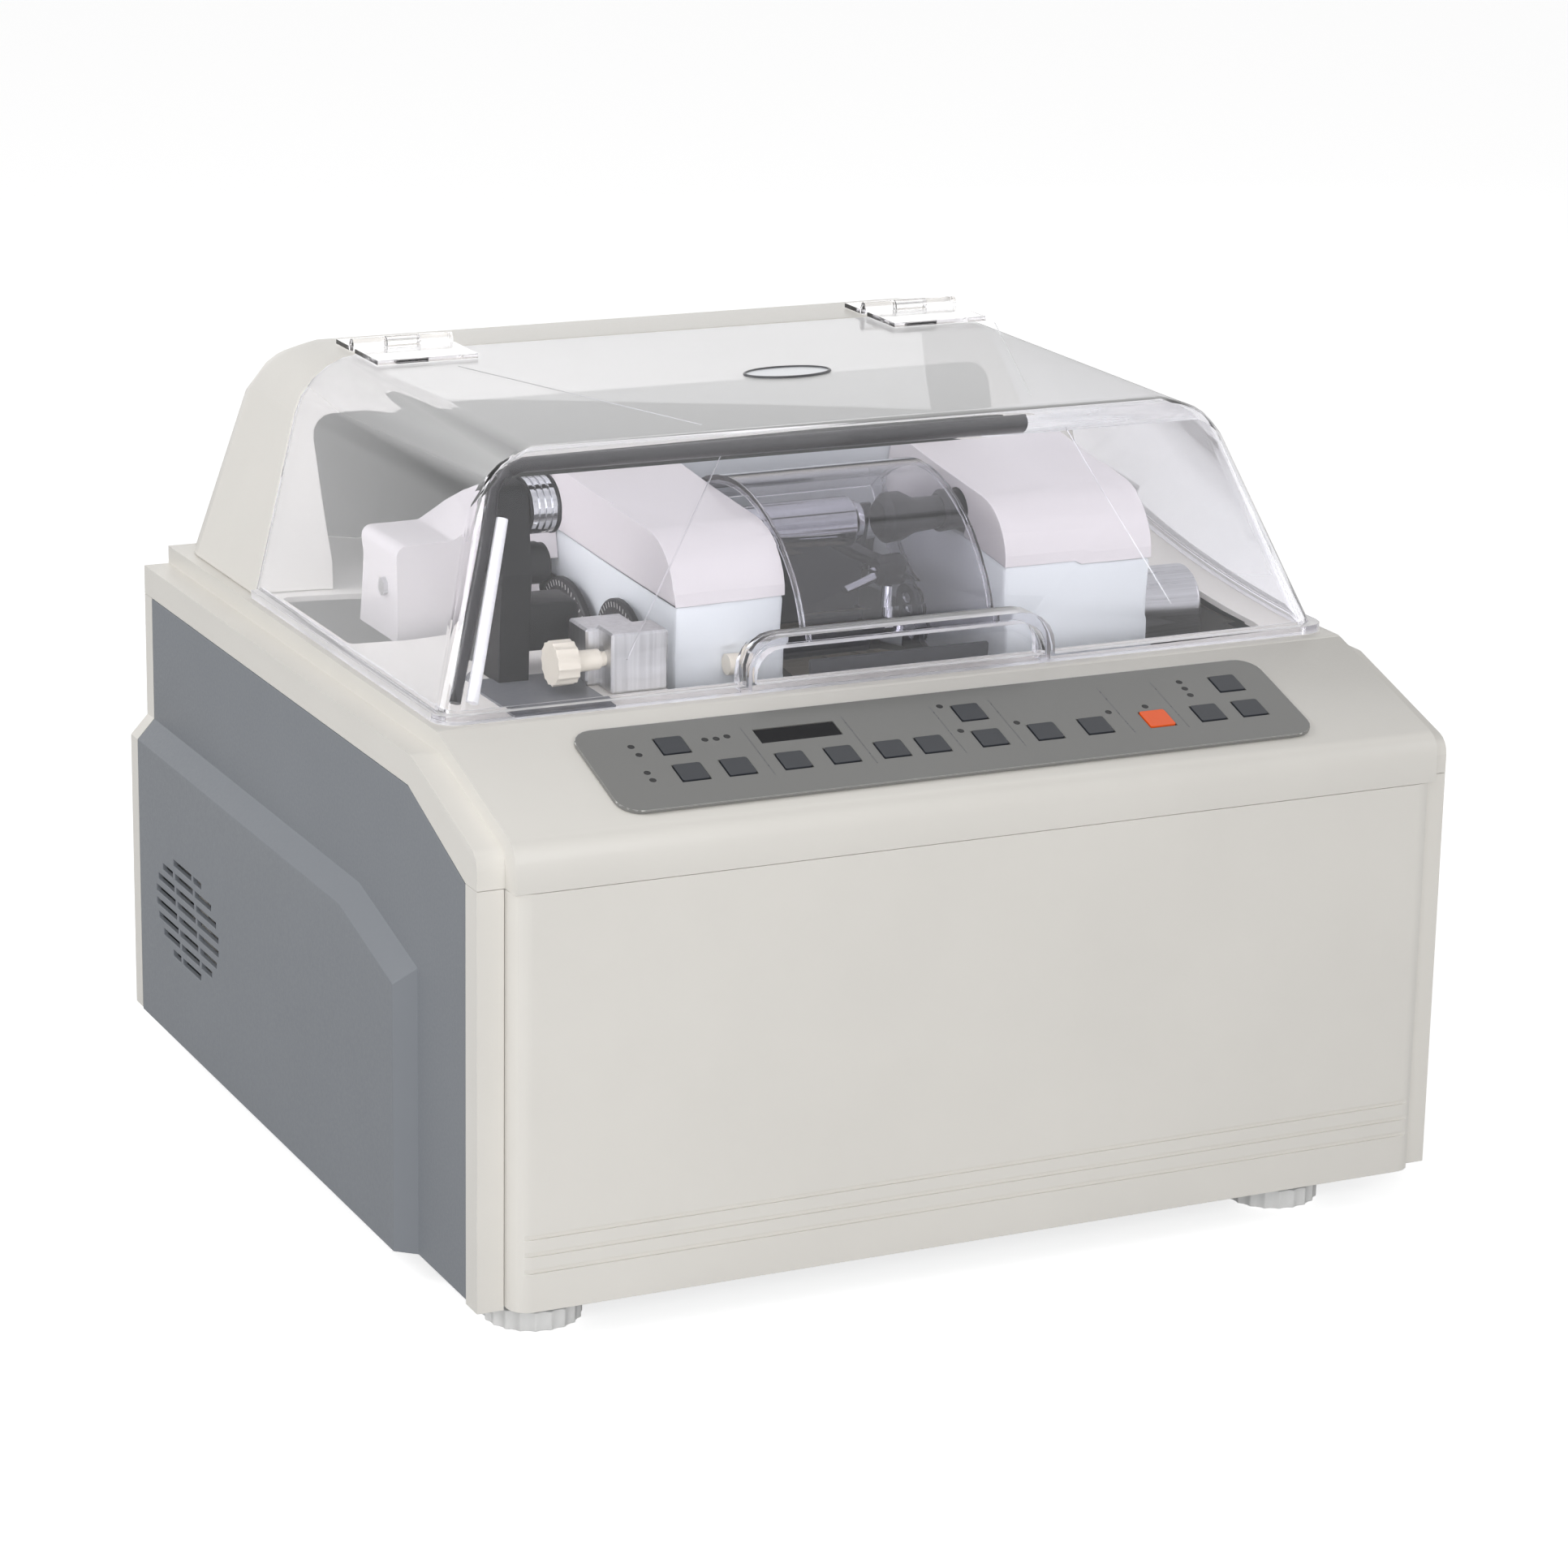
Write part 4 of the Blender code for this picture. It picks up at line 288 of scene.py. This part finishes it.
# Feet: fluted discs of white nylon on a steel stud that screws up into the tray.
# The flutes give the fingers a hold for levelling. Nylon is a little waxy, so its shine is wide.
nylon = moulded("nylon_white_moulded", "EDEDEC", 0.38, 0.0012, 0.00002)
for foot in ("foot_front_left", "foot_front_right", "foot_rear_left", "foot_rear_right"):
    dressed(foot, nylon, 0.0007)

# Floor tray and rear panel: folded steel sheet with powder paint, screwed together.
# Powder melts to a soft orange peel of about 2 mm. The inlet and its switch are one black snap-in
# module of glass-filled plastic, matt beside the paint.
powder = moulded("steel_powder_coated_grey", "B9BCBD", 0.5, 0.0020, 0.00005)
dressed("base_tray", powder, 0.0005)
dressed("rear_panel", powder, 0.0004)
black_abs = moulded("abs_black_matt", "1B1B1D", 0.4, 0.0010, 0.00001, gloss=0.3)
dressed("power_inlet", black_abs, 0.0004)
dressed("power_switch", black_abs, 0.0004)

# Screws of the rear panel: zinc-plated steel, pan heads 6.4 mm wide with a cross recess.
# They hold the sheet along its edges, so that it comes off for service. Zinc under clear
# passivation is a pale, slightly cloudy grey.


def grown(name, points, edges, tree, sizes, body):
    """Runs a node tree on a few points, and keeps what it makes as one plain mesh on one body."""
    start = bpy.data.meshes.new(name + "_points")
    start.from_pydata(points, edges, [])
    holder = bpy.data.objects.new(name + "_holder", start)
    bpy.context.scene.collection.objects.link(holder)
    maker = holder.modifiers.new("maker", "NODES")
    maker.node_group = tree
    for identifier, value in sizes.items():
        maker[identifier] = value
    shown = holder.evaluated_get(bpy.context.evaluated_depsgraph_get())
    mesh = bpy.data.meshes.new_from_object(shown)
    mesh.name = name
    bpy.data.objects.remove(holder)
    piece = bpy.data.objects.new(name, mesh)
    bpy.context.scene.collection.objects.link(piece)
    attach(piece, body)


def new_tree(name, *inputs):
    """An empty geometry tree with its geometry sockets and named inputs.

    Gives the tree, its group input and the identifiers of the named inputs.
    """
    tree = bpy.data.node_groups.new(name, "GeometryNodeTree")
    tree.interface.new_socket("Geometry", in_out="INPUT", socket_type="NodeSocketGeometry")
    tree.interface.new_socket("Geometry", in_out="OUTPUT", socket_type="NodeSocketGeometry")
    identifiers = []
    for label, kind in inputs:
        socket = tree.interface.new_socket(label, in_out="INPUT", socket_type="NodeSocket" + kind)
        identifiers.append(socket.identifier)
    return tree, tree.nodes.new("NodeGroupInput"), identifiers


def closed_tree(tree, made, finish):
    """Ends a tree with real geometry and its material."""
    real = add(tree, "GeometryNodeRealizeInstances", {0: made})
    coated = add(tree, "GeometryNodeSetMaterial", {"Geometry": real.outputs[0], "Material": finish})
    add(tree, "NodeGroupOutput", {0: coated.outputs[0]})


def heads(name, places, finish, body, diameter, height, turn, sides=20):
    """Round heads on places, all turned alike; the places are their middles."""
    tree, given, (wide, high) = new_tree(name, ("Head Radius", "Float"), ("Head Height", "Float"))
    disc = add(tree, "GeometryNodeMeshCylinder", {
        "Vertices": sides, "Radius": given.outputs["Head Radius"],
        "Depth": given.outputs["Head Height"]})
    spread = add(tree, "GeometryNodeInstanceOnPoints", {
        "Points": given.outputs["Geometry"], "Instance": disc.outputs[0], "Rotation": turn})
    closed_tree(tree, spread.outputs[0], finish)
    grown(name, places, [], tree, {wide: diameter / 2, high: height}, body)


def bars(name, places, finish, body, size, turn=(0, 0, 0)):
    """Straight bars on places, all turned alike."""
    tree, given, (form,) = new_tree(name, ("Bar Size", "Vector"))
    stick = add(tree, "GeometryNodeMeshCube", {"Size": given.outputs["Bar Size"]})
    spread = add(tree, "GeometryNodeInstanceOnPoints", {
        "Points": given.outputs["Geometry"], "Instance": stick.outputs[0], "Rotation": turn})
    closed_tree(tree, spread.outputs[0], finish)
    grown(name, places, [], tree, {form: size}, body)


def bead(name, path, finish, body, radius, closed=False, sides=8):
    """A round bead along a path."""
    tree, given, (thick,) = new_tree(name, ("Bead Radius", "Float"))
    line = add(tree, "GeometryNodeMeshToCurve", {"Mesh": given.outputs["Geometry"]})
    ring = add(tree, "GeometryNodeCurvePrimitiveCircle", {
        "Resolution": sides, "Radius": given.outputs["Bead Radius"]})
    swept = add(tree, "GeometryNodeCurveToMesh", {
        "Curve": line.outputs[0], "Profile Curve": ring.outputs[0], "Fill Caps": True})
    closed_tree(tree, swept.outputs[0], finish)
    edges = [(at, at + 1) for at in range(len(path) - 1)]
    if closed:
        edges.append((len(path) - 1, 0))
    grown(name, path, edges, tree, {thick: radius}, body)


zinc = moulded("steel_zinc_plated", "B4B6B8", 0.3, 0.0008, 0.00001)
spigot_reach = 0.0043
rear_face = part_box("rear_panel")[1][1] - spigot_reach
head_middle = rear_face + 0.0008
screw_places = [
    (x, head_middle, z) for z in (0.030, 0.240) for x in (-0.235, -0.080, 0.080, 0.235)]
screw_places += [(x, head_middle, 0.135) for x in (-0.235, 0.235)]
heads("rear_screws", screw_places, zinc, "housing", 0.0064, 0.0018, (pi / 2, 0, 0))
# The cross recesses are thin black bars laid on the heads: painted shade where each recess is dark.
recess_shade_places = [(x, y + 0.0008, z) for x, y, z in screw_places]
for name, tilt in (("rear_screw_recess_shade_a", pi / 4), ("rear_screw_recess_shade_b", -pi / 4)):
    bars(name, recess_shade_places, black_abs, "housing", (0.0034, 0.0003, 0.0007),
         (0, tilt, 0))

# Control face: printed polycarbonate film on a steel backing, 15 pads behind one film.
# The film is satin, so it shows broad soft reflections. The window in it is clear over a dark
# display, and a pale bead round the film is a painted highlight of its edge catching the light.
membrane = moulded("polycarbonate_film_grey", "7E7E7C", 0.2, 0.0300, 0.00004, 0.02, gloss=0.4)
# Ink printed on the film's back: its shine is the film's own.
pad_dark = moulded("printed_film_dark", "373A40", 0.2, 0.0200, 0.00002, 0.02, gloss=0.3)
pad_orange = moulded("printed_film_orange", "FA6426", 0.2, 0.0200, 0.00002, 0.02, gloss=0.3)
display_dark = moulded("acrylic_display_dark", "1C1C1F", 0.12, 0.0300, 0.000002, gloss=0.08)
dressed("control_panel", membrane, 0.0003)
dressed("display_window", display_dark, 0.0002)
for index in range(1, 16):
    node = f"key_{index:02d}"
    if index == 10:
        dressed(node, pad_orange, 0.0003)
    else:
        dressed(node, pad_dark, 0.0003)

# The slope leans back from its foot line, and the film's top lies this high over it.
slope_tilt = 0.298450
slope_foot = 0.25224
film_top = 0.0022


def on_slope(x, up, lift=film_top):
    """A place on the control slope: up is the way up the slope, lift the height over it."""
    return (x, up * cos(slope_tilt) - lift * sin(slope_tilt) + cad_box[0][1],
            slope_foot + up * sin(slope_tilt) + lift * cos(slope_tilt))


# A pale bead round the film is painted highlight: the film's edge catching the light.
film_highlight_finish = moulded("film_rim_painted_highlight", "C9C9C6", 0.3, 0.0010, 0.000005)
film_low, film_high = (-0.1938, 0.0158), (0.1917, 0.0884)
corner = 0.0118
corner_steps = 8
ring = []
for x, up, start in ((film_high[0] - corner, film_high[1] - corner, 0),
                     (film_low[0] + corner, film_high[1] - corner, 90),
                     (film_low[0] + corner, film_low[1] + corner, 180),
                     (film_high[0] - corner, film_low[1] + corner, 270)):
    for step in range(corner_steps + 1):
        turn = radians(start + step * 90 / corner_steps)
        ring.append(on_slope(x + corner * cos(turn), up + corner * sin(turn), 0.0019))
bead("film_painted_highlight_bead", ring, film_highlight_finish, "housing", 0.00045, True, 6)

# Status lamps under the film, dark while the machine is off, and the printed lines between groups.
lamp_dark = moulded("led_lens_dark", "1B1B1D", 0.2, 0.0016, 0.000002, gloss=0.3)
lamp_places = (
    (-0.1678, 0.0702), (-0.1667, 0.0626), (-0.1286, 0.0694), (-0.1226, 0.0691),
    (-0.1164, 0.0701), (-0.1690, 0.0467), (-0.1688, 0.0400), (0.0038, 0.0756),
    (0.0044, 0.0521), (0.0369, 0.0537), (0.0896, 0.0538), (0.1116, 0.0551),
    (0.1414, 0.0735), (0.1413, 0.0671), (0.1412, 0.0607))
heads("status_lamps", [on_slope(*place) for place in lamp_places], lamp_dark, "housing",
      0.0036, 0.0003, (slope_tilt, 0, 0), 16)
printed_line = moulded("printed_film_line", "55565A", 0.3, 0.0016, 0.000004)
line_places = [on_slope(x, 0.0545) for x in (-0.1065, -0.0511, -0.0017, 0.0317, 0.0945, 0.1255)]
bars("group_lines", line_places, printed_line, "housing", (0.0005, 0.044, 0.0002),
     (slope_tilt, 0, 0))

# Drive and chamber: motor, belt, pulleys, spindle with its wheels, and the tub around them.
# The motor and the spindle's bearings bolt to the tray. The tub is pressed steel, drawn dark grey
# as painted shade for the shade it sits in, and the wheels are diamond grit bonded to steel hubs.


def metal(name, colour, roughness, axis, pitch, depth=0.00001, spread=0.08):
    """Metal with fine lines that run along one axis; pitch is the distance between the lines."""
    line_stretch = 60
    made, tree = new_finish(name)
    place = add(tree, "ShaderNodeTexCoord").outputs["Object"]
    fine = 0.5 / pitch
    scale = [fine, fine, fine]
    scale["xyz".index(axis)] = fine / line_stretch
    stretch = add(tree, "ShaderNodeMapping", {"Vector": place, "Scale": scale})
    lines = add(tree, "ShaderNodeTexNoise", {
        "Vector": stretch.outputs[0], "Scale": 1.0, "Detail": 3.0}).outputs[0]
    relief = add(tree, "ShaderNodeBump", {"Height": lines, "Distance": depth, "Strength": 1.0})
    skin = add(tree, "ShaderNodeBsdfPrincipled", {
        "Base Color": tinted(tree, colour, mapped(tree, lines, 0.8, 1.0)), "Metallic": 1.0,
        "Roughness": mapped(tree, lines, roughness - spread / 2, roughness + spread),
        "Normal": relief.outputs[0]})
    add(tree, "ShaderNodeOutputMaterial", {"Surface": skin.outputs[0]})
    return made


# Brushed metals streak their highlights along the lines. Real lines are 0.05 to 0.1 mm apart;
# they are drawn ten times coarser to show.
stainless = metal("stainless_steel_brushed", "C9C9CC", 0.3, "x", 0.0006)
aluminium = metal("aluminium_brushed", "E0E0E1", 0.36, "z", 0.0011)
# Chrome mirrors the room almost cleanly.
chrome = metal("steel_chrome_plated", "DDDEE2", 0.08, "x", 0.002, 0.000001, 0.03)
# Powder paint and rubber are dark, with only a wide dull shine; the tub's dark grey is painted
# shade, for the steel tub in shade under the lid and visor.
black_paint = moulded("steel_black_powder_coated", "18181A", 0.5, 0.0006, 0.00002, gloss=0.22)
rubber = moulded("rubber_belt_black", "1E1E1F", 0.8, 0.0012, 0.00004)
# Grit of 0.1 mm in a bronze bond: dull and brownish, drawn coarser to show.
grit = metal("diamond_grit_bonded", "7E7666", 0.6, "x", 0.0006, 0.00006)
chamber_painted_shade = moulded("steel_tub_painted_shade", "2D2F34", 0.35, 0.0016, 0.00002, gloss=0.3)


def refinish(node, finish):
    """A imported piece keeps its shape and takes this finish."""
    skin = nodes[node].data.materials
    skin.clear()
    skin.append(finish)


dressed("grinding_chamber", chamber_painted_shade, 0.0010)
refinish("grinding_spindle", stainless)
refinish("grinding_wheels", grit)
refinish("grinding_motor", black_paint)
refinish("motor_pulley", aluminium)
refinish("drive_belt", rubber)
dressed("water_nozzle", black_abs, 0.0004)

# Chrome sleeves pushed over the nozzle's two bent tubes, close to its hub.
nozzle_hub = Vector((0.029, -0.08035, 0.314))
sleeve_start = 0.009
for name, way, sleeve_end in (("nozzle_sleeve_a", (-0.95, -0.15, -0.25), 0.0288),
                              ("nozzle_sleeve_b", (-0.15, -0.25, -0.95), 0.0248)):
    way = Vector(way).normalized()
    sleeve = [tuple(nozzle_hub + way * sleeve_start), tuple(nozzle_hub + way * sleeve_end)]
    bead(name, sleeve, chrome, "housing", 0.0029, sides=14)

# Carriage: an aluminium casting that swings on its shaft, with two covers screwed on its heads.
# The casting has a smooth pale enamel, so its flats read cooler than the covers, which are
# high-gloss ABS. The clamp motor sits in a brushed steel can.
cast_paint = moulded("casting_enamel_pale", "DEE2E5", 0.3, 0.0012, 0.000001, 0.0, gloss=0.4)
gloss_abs = moulded("abs_gloss_white", "DDD8DA", 0.18, 0.0030, 0.000002, 0.01, gloss=0.4)
dressed("carriage_frame", cast_paint, 0.0006)
dressed("left_head_cover", gloss_abs, 0.0015, 3)
dressed("right_head_cover", gloss_abs, 0.0015, 3)
dressed("clamp_motor", stainless, 0.0006)
dressed("left_lens_shaft", chrome, 0.0005)
dressed("right_lens_shaft", black_abs, 0.0005)
dressed("clamp_quill", black_abs, 0.0005)
heads("wing_bolt", [(-0.2078, 0.0460, 0.3050)], stainless, "carriage", 0.0100, 0.0034,
      (0, pi / 2, 0), 6)

# Pattern unit: a folded steel bracket on a painted base plate, bolted to the top moulding.
# It carries a chrome knob between two black discs, a black knob, two black dials with engraved
# scales, a brushed aluminium rest and an ivory nylon screw and stop.
dressed("pattern_bracket", black_paint, 0.0008)
dressed("chrome_knob", chrome, 0.0003)
dressed("black_knob", black_abs, 0.0005)
dressed("size_dial", black_abs, 0.0005)
dressed("bevel_dial", black_abs, 0.0005)
# Paint wiped into the engraving gives matt white lines.
scale_ink = moulded("engraved_scale_white", "D2D2D0", 0.5, 0.0012, 0.00001)


def graduations(name, centre, count, ring_radius, body):
    """Engraved lines round a dial's face, filled with paint; the dial turns about X."""
    stroke_size = (0.0026, 0.0005, 0.0002)
    tree, given, (many, reach) = new_tree(name, ("Lines", "Int"), ("Ring Radius", "Float"))
    circle = add(tree, "GeometryNodeMeshCircle", {
        "Vertices": given.outputs["Lines"], "Radius": given.outputs["Ring Radius"]})
    stroke = add(tree, "GeometryNodeMeshCube", {"Size": stroke_size})
    here = add(tree, "GeometryNodeInputPosition")
    facing = add(tree, "FunctionNodeAlignRotationToVector", {"Vector": here.outputs[0]}, axis="X")
    spread = add(tree, "GeometryNodeInstanceOnPoints", {
        "Points": circle.outputs[0], "Instance": stroke.outputs[0], "Rotation": facing.outputs[0]})
    placed = add(tree, "GeometryNodeTransform", {
        "Geometry": spread.outputs[0], "Translation": centre, "Rotation": (0, pi / 2, 0)})
    closed_tree(tree, placed.outputs[0], scale_ink)
    grown(name, [(0, 0, 0)], [], tree, {many: count, reach: ring_radius}, body)


for dial in ("size_dial", "bevel_dial"):
    low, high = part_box(dial)
    middle = (low[0], (low[1] + high[1]) / 2, (low[2] + high[2]) / 2)
    graduations(dial + "_scale", middle, 48, 0.0255, dial)
dressed("pattern_rest", aluminium, 0.0004)
# Ivory nylon is waxy, with a soft wide shine.
ivory = moulded("nylon_ivory_moulded", "E6DFD0", 0.4, 0.0012, 0.00001)
dressed("thumb_screw", ivory, 0.0004)
heads("stop_plug", [(-0.0740, -0.1130, 0.2887)], ivory, "housing", 0.0110, 0.0160,
      (0, pi / 2, 0), 28)
knob_middle = (-0.07835, 0.3695)
heads("knob_rim_discs", [(x, *knob_middle) for x in (-0.1793, -0.1637)], black_abs, "chrome_knob",
      0.0296, 0.0010, (0, pi / 2, 0), 40)
# Wet paint on sheet: an even grey, with a soft shine.
plate_grey = moulded("steel_sheet_painted_grey", "6A6C70", 0.4, 0.0012, 0.00001)
bars("bracket_base_plate", [(-0.1840, -0.1130, 0.2836)], plate_grey, "housing",
     (0.0540, 0.0630, 0.0012))

# Fan rotor: one black moulding on a steel shaft, seen only through the left louvres.
# It is injection-moulded ABS, pressed on its shaft.
dressed("fan_rotor", black_abs, 0.0003)

# Clear lid, its hinges and the splash visor: acrylic sheet, formed hot over a mould and polished.
# Two clear hinges carry the lid on the hood, and the visor swings on two ears of the chamber. The
# lid's edges look violet grey, because light runs far inside the sheet, and its top is made milky
# at a flat angle by plain white mixed in there, a painted reflection of the room's light.


def acrylic(name, colour, roughness, clear, depth, painted_veil=0.0):
    """Clear acrylic that lets the lamps' light through.

    Depth is its colour where light runs far inside, and clear its colour to the lamps' light. The
    last argument is the share of plain white mixed in where it is seen at a flat angle: a painted
    reflection of the room's light.
    """
    facing_low, facing_high = 0.5, 0.8
    made, tree = new_finish(name)
    ray = add(tree, "ShaderNodeLightPath")
    solid = add(tree, "ShaderNodeBsdfPrincipled", {
        "Base Color": linear(colour), "Roughness": roughness, "IOR": 1.49,
        "Transmission Weight": 1.0})
    # Plain white mixed in at a flat angle: a painted reflection of the room's light.
    slant = add(tree, "ShaderNodeLayerWeight", {"Blend": 0.5})
    cover = add(tree, "ShaderNodeMapRange", {
        0: slant.outputs["Facing"], 1: facing_low, 2: facing_high, 3: 0.0, 4: painted_veil})
    veil_white = add(tree, "ShaderNodeBsdfDiffuse", {"Color": linear("FFFFFF")})
    solid = add(tree, "ShaderNodeMixShader", {
        0: cover.outputs[0], 1: solid.outputs[0], 2: veil_white.outputs[0]})
    gap = add(tree, "ShaderNodeBsdfTransparent", {"Color": linear(clear)})
    both = add(tree, "ShaderNodeMixShader", {
        0: ray.outputs["Is Shadow Ray"], 1: solid.outputs[0], 2: gap.outputs[0]})
    inside = add(tree, "ShaderNodeVolumeAbsorption", {"Color": linear(depth), "Density": 22.0})
    add(tree, "ShaderNodeOutputMaterial", {"Surface": both.outputs[0], "Volume": inside.outputs[0]})
    return made


# The visor's sheet is tinted grey right through, and the hinges are thin enough to stay colourless.
clear_sheet = acrylic("acrylic_clear_formed", "FBFBFE", 0.01, "E2E2E2", "A8A2B0", 0.62)
smoked_sheet = acrylic("acrylic_smoked_formed", "E6E5EA", 0.015, "DAD9DE", "67636F")
hinge_clear = acrylic("polycarbonate_hinge_clear", "FFFFFF", 0.05, "F4F4F4", "F2F0F4")
dressed("lid", clear_sheet, 0.0006)
dressed("splash_visor", smoked_sheet, 0.0004)
for side in ("left", "right"):
    dressed("hinge_leaf_" + side, hinge_clear, 0.0004)
    dressed("hinge_base_" + side, hinge_clear, 0.0004)

# Creases of the lid: shallow lines left by the mould where the sheet was drawn.
# They are part of the same sheet, so they only bend the light, as thin bright threads.
lid_top = 0.4045
lid_creases = (
    ("lid_crease_top_left", ((-0.139, 0.1097, lid_top), (-0.078, -0.0713, lid_top))),
    ("lid_crease_top_right", ((0.192, 0.1217, lid_top), (0.116, -0.0643, lid_top))),
    ("lid_crease_front_left", ((-0.080, -0.0985, 0.3935), (-0.150, -0.1435, 0.3060))),
    ("lid_crease_front_right", ((0.118, -0.0985, 0.3935), (0.160, -0.1435, 0.3060))),
)
for name, path in lid_creases:
    bead(name, path, clear_sheet, "lid", 0.0004, sides=6)

# Painted shade and highlight on the lid: dark beads along its inner front edges stand for the dark
# band that the bent sheet shows there, and a white bead down its front left corner stands for that
# corner's highlight. The dark beads are satin, the white one bright.
lid_shade_finish = moulded("lid_band_painted_shade", "1F1E21", 0.35, 0.0020, 0.00001, gloss=0.4)
lid_highlight_finish = moulded("lid_corner_painted_highlight", "F2F2F4", 0.3, 0.0020, 0.00001)
strip_corner = (-0.1905, -0.0868, 0.3940)
top_run = [strip_corner, (-0.1840, -0.0866, 0.3952), (0.1000, -0.0866, 0.3952)]
left_run = [(-0.2390, -0.1375, 0.2905), (-0.1985, -0.0893, 0.3840), strip_corner]
corner_highlight_run = [(-0.2310, -0.1395, 0.2905), (-0.1975, -0.0975, 0.3700)]
bead("lid_shade_bead_top", top_run, lid_shade_finish, "lid", 0.0036, sides=12)
bead("lid_shade_bead_left", left_run, lid_shade_finish, "lid", 0.0030, sides=12)
bead("lid_highlight_bead", corner_highlight_run, lid_highlight_finish, "lid", 0.0030, sides=12)

# Badge on the lid: a bare oval of anodised aluminium with a painted rim, stuck to the sheet.
# Anodising dulls the metal to an even silver.
badge_silver = metal("aluminium_anodised_silver", "C4C6CA", 0.3, "x", 0.0005)
# The painted rim is a dark satin line round it.
badge_ring = moulded("aluminium_painted_dark", "4A4B4E", 0.35, 0.0010, 0.00001)
badge_middle = Vector((0.020, 0.03365, lid_top))
badge_wide, badge_deep = 0.0245, 0.0130
badge_corners = 48
oval = []
for at in range(badge_corners):
    turn = radians(at * 360 / badge_corners)
    oval.append((badge_middle.x + badge_wide * cos(turn), badge_middle.y + badge_deep * sin(turn),
                 lid_top + 0.0003))
bead("badge_rim", oval, badge_ring, "lid", 0.0009, True)
badge_form = bmesh.new()
badge_place = Matrix.Translation(badge_middle) @ Matrix.Diagonal((badge_wide, badge_deep, 1, 1))
bmesh.ops.create_circle(
    badge_form, cap_ends=True, radius=1.0, segments=badge_corners, matrix=badge_place)
lifted = bmesh.ops.extrude_face_region(badge_form, geom=badge_form.faces[:])
bmesh.ops.translate(badge_form, vec=(0, 0, 0.0005),
                    verts=[part for part in lifted["geom"] if isinstance(part, bmesh.types.BMVert)])
bmesh.ops.recalc_face_normals(badge_form, faces=badge_form.faces[:])
badge_mesh = bpy.data.meshes.new("badge_plate")
badge_form.to_mesh(badge_mesh)
badge_form.free()
badge_mesh.materials.append(badge_silver)
badge = bpy.data.objects.new("badge_plate", badge_mesh)
bpy.context.scene.collection.objects.link(badge)
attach(badge, "lid")
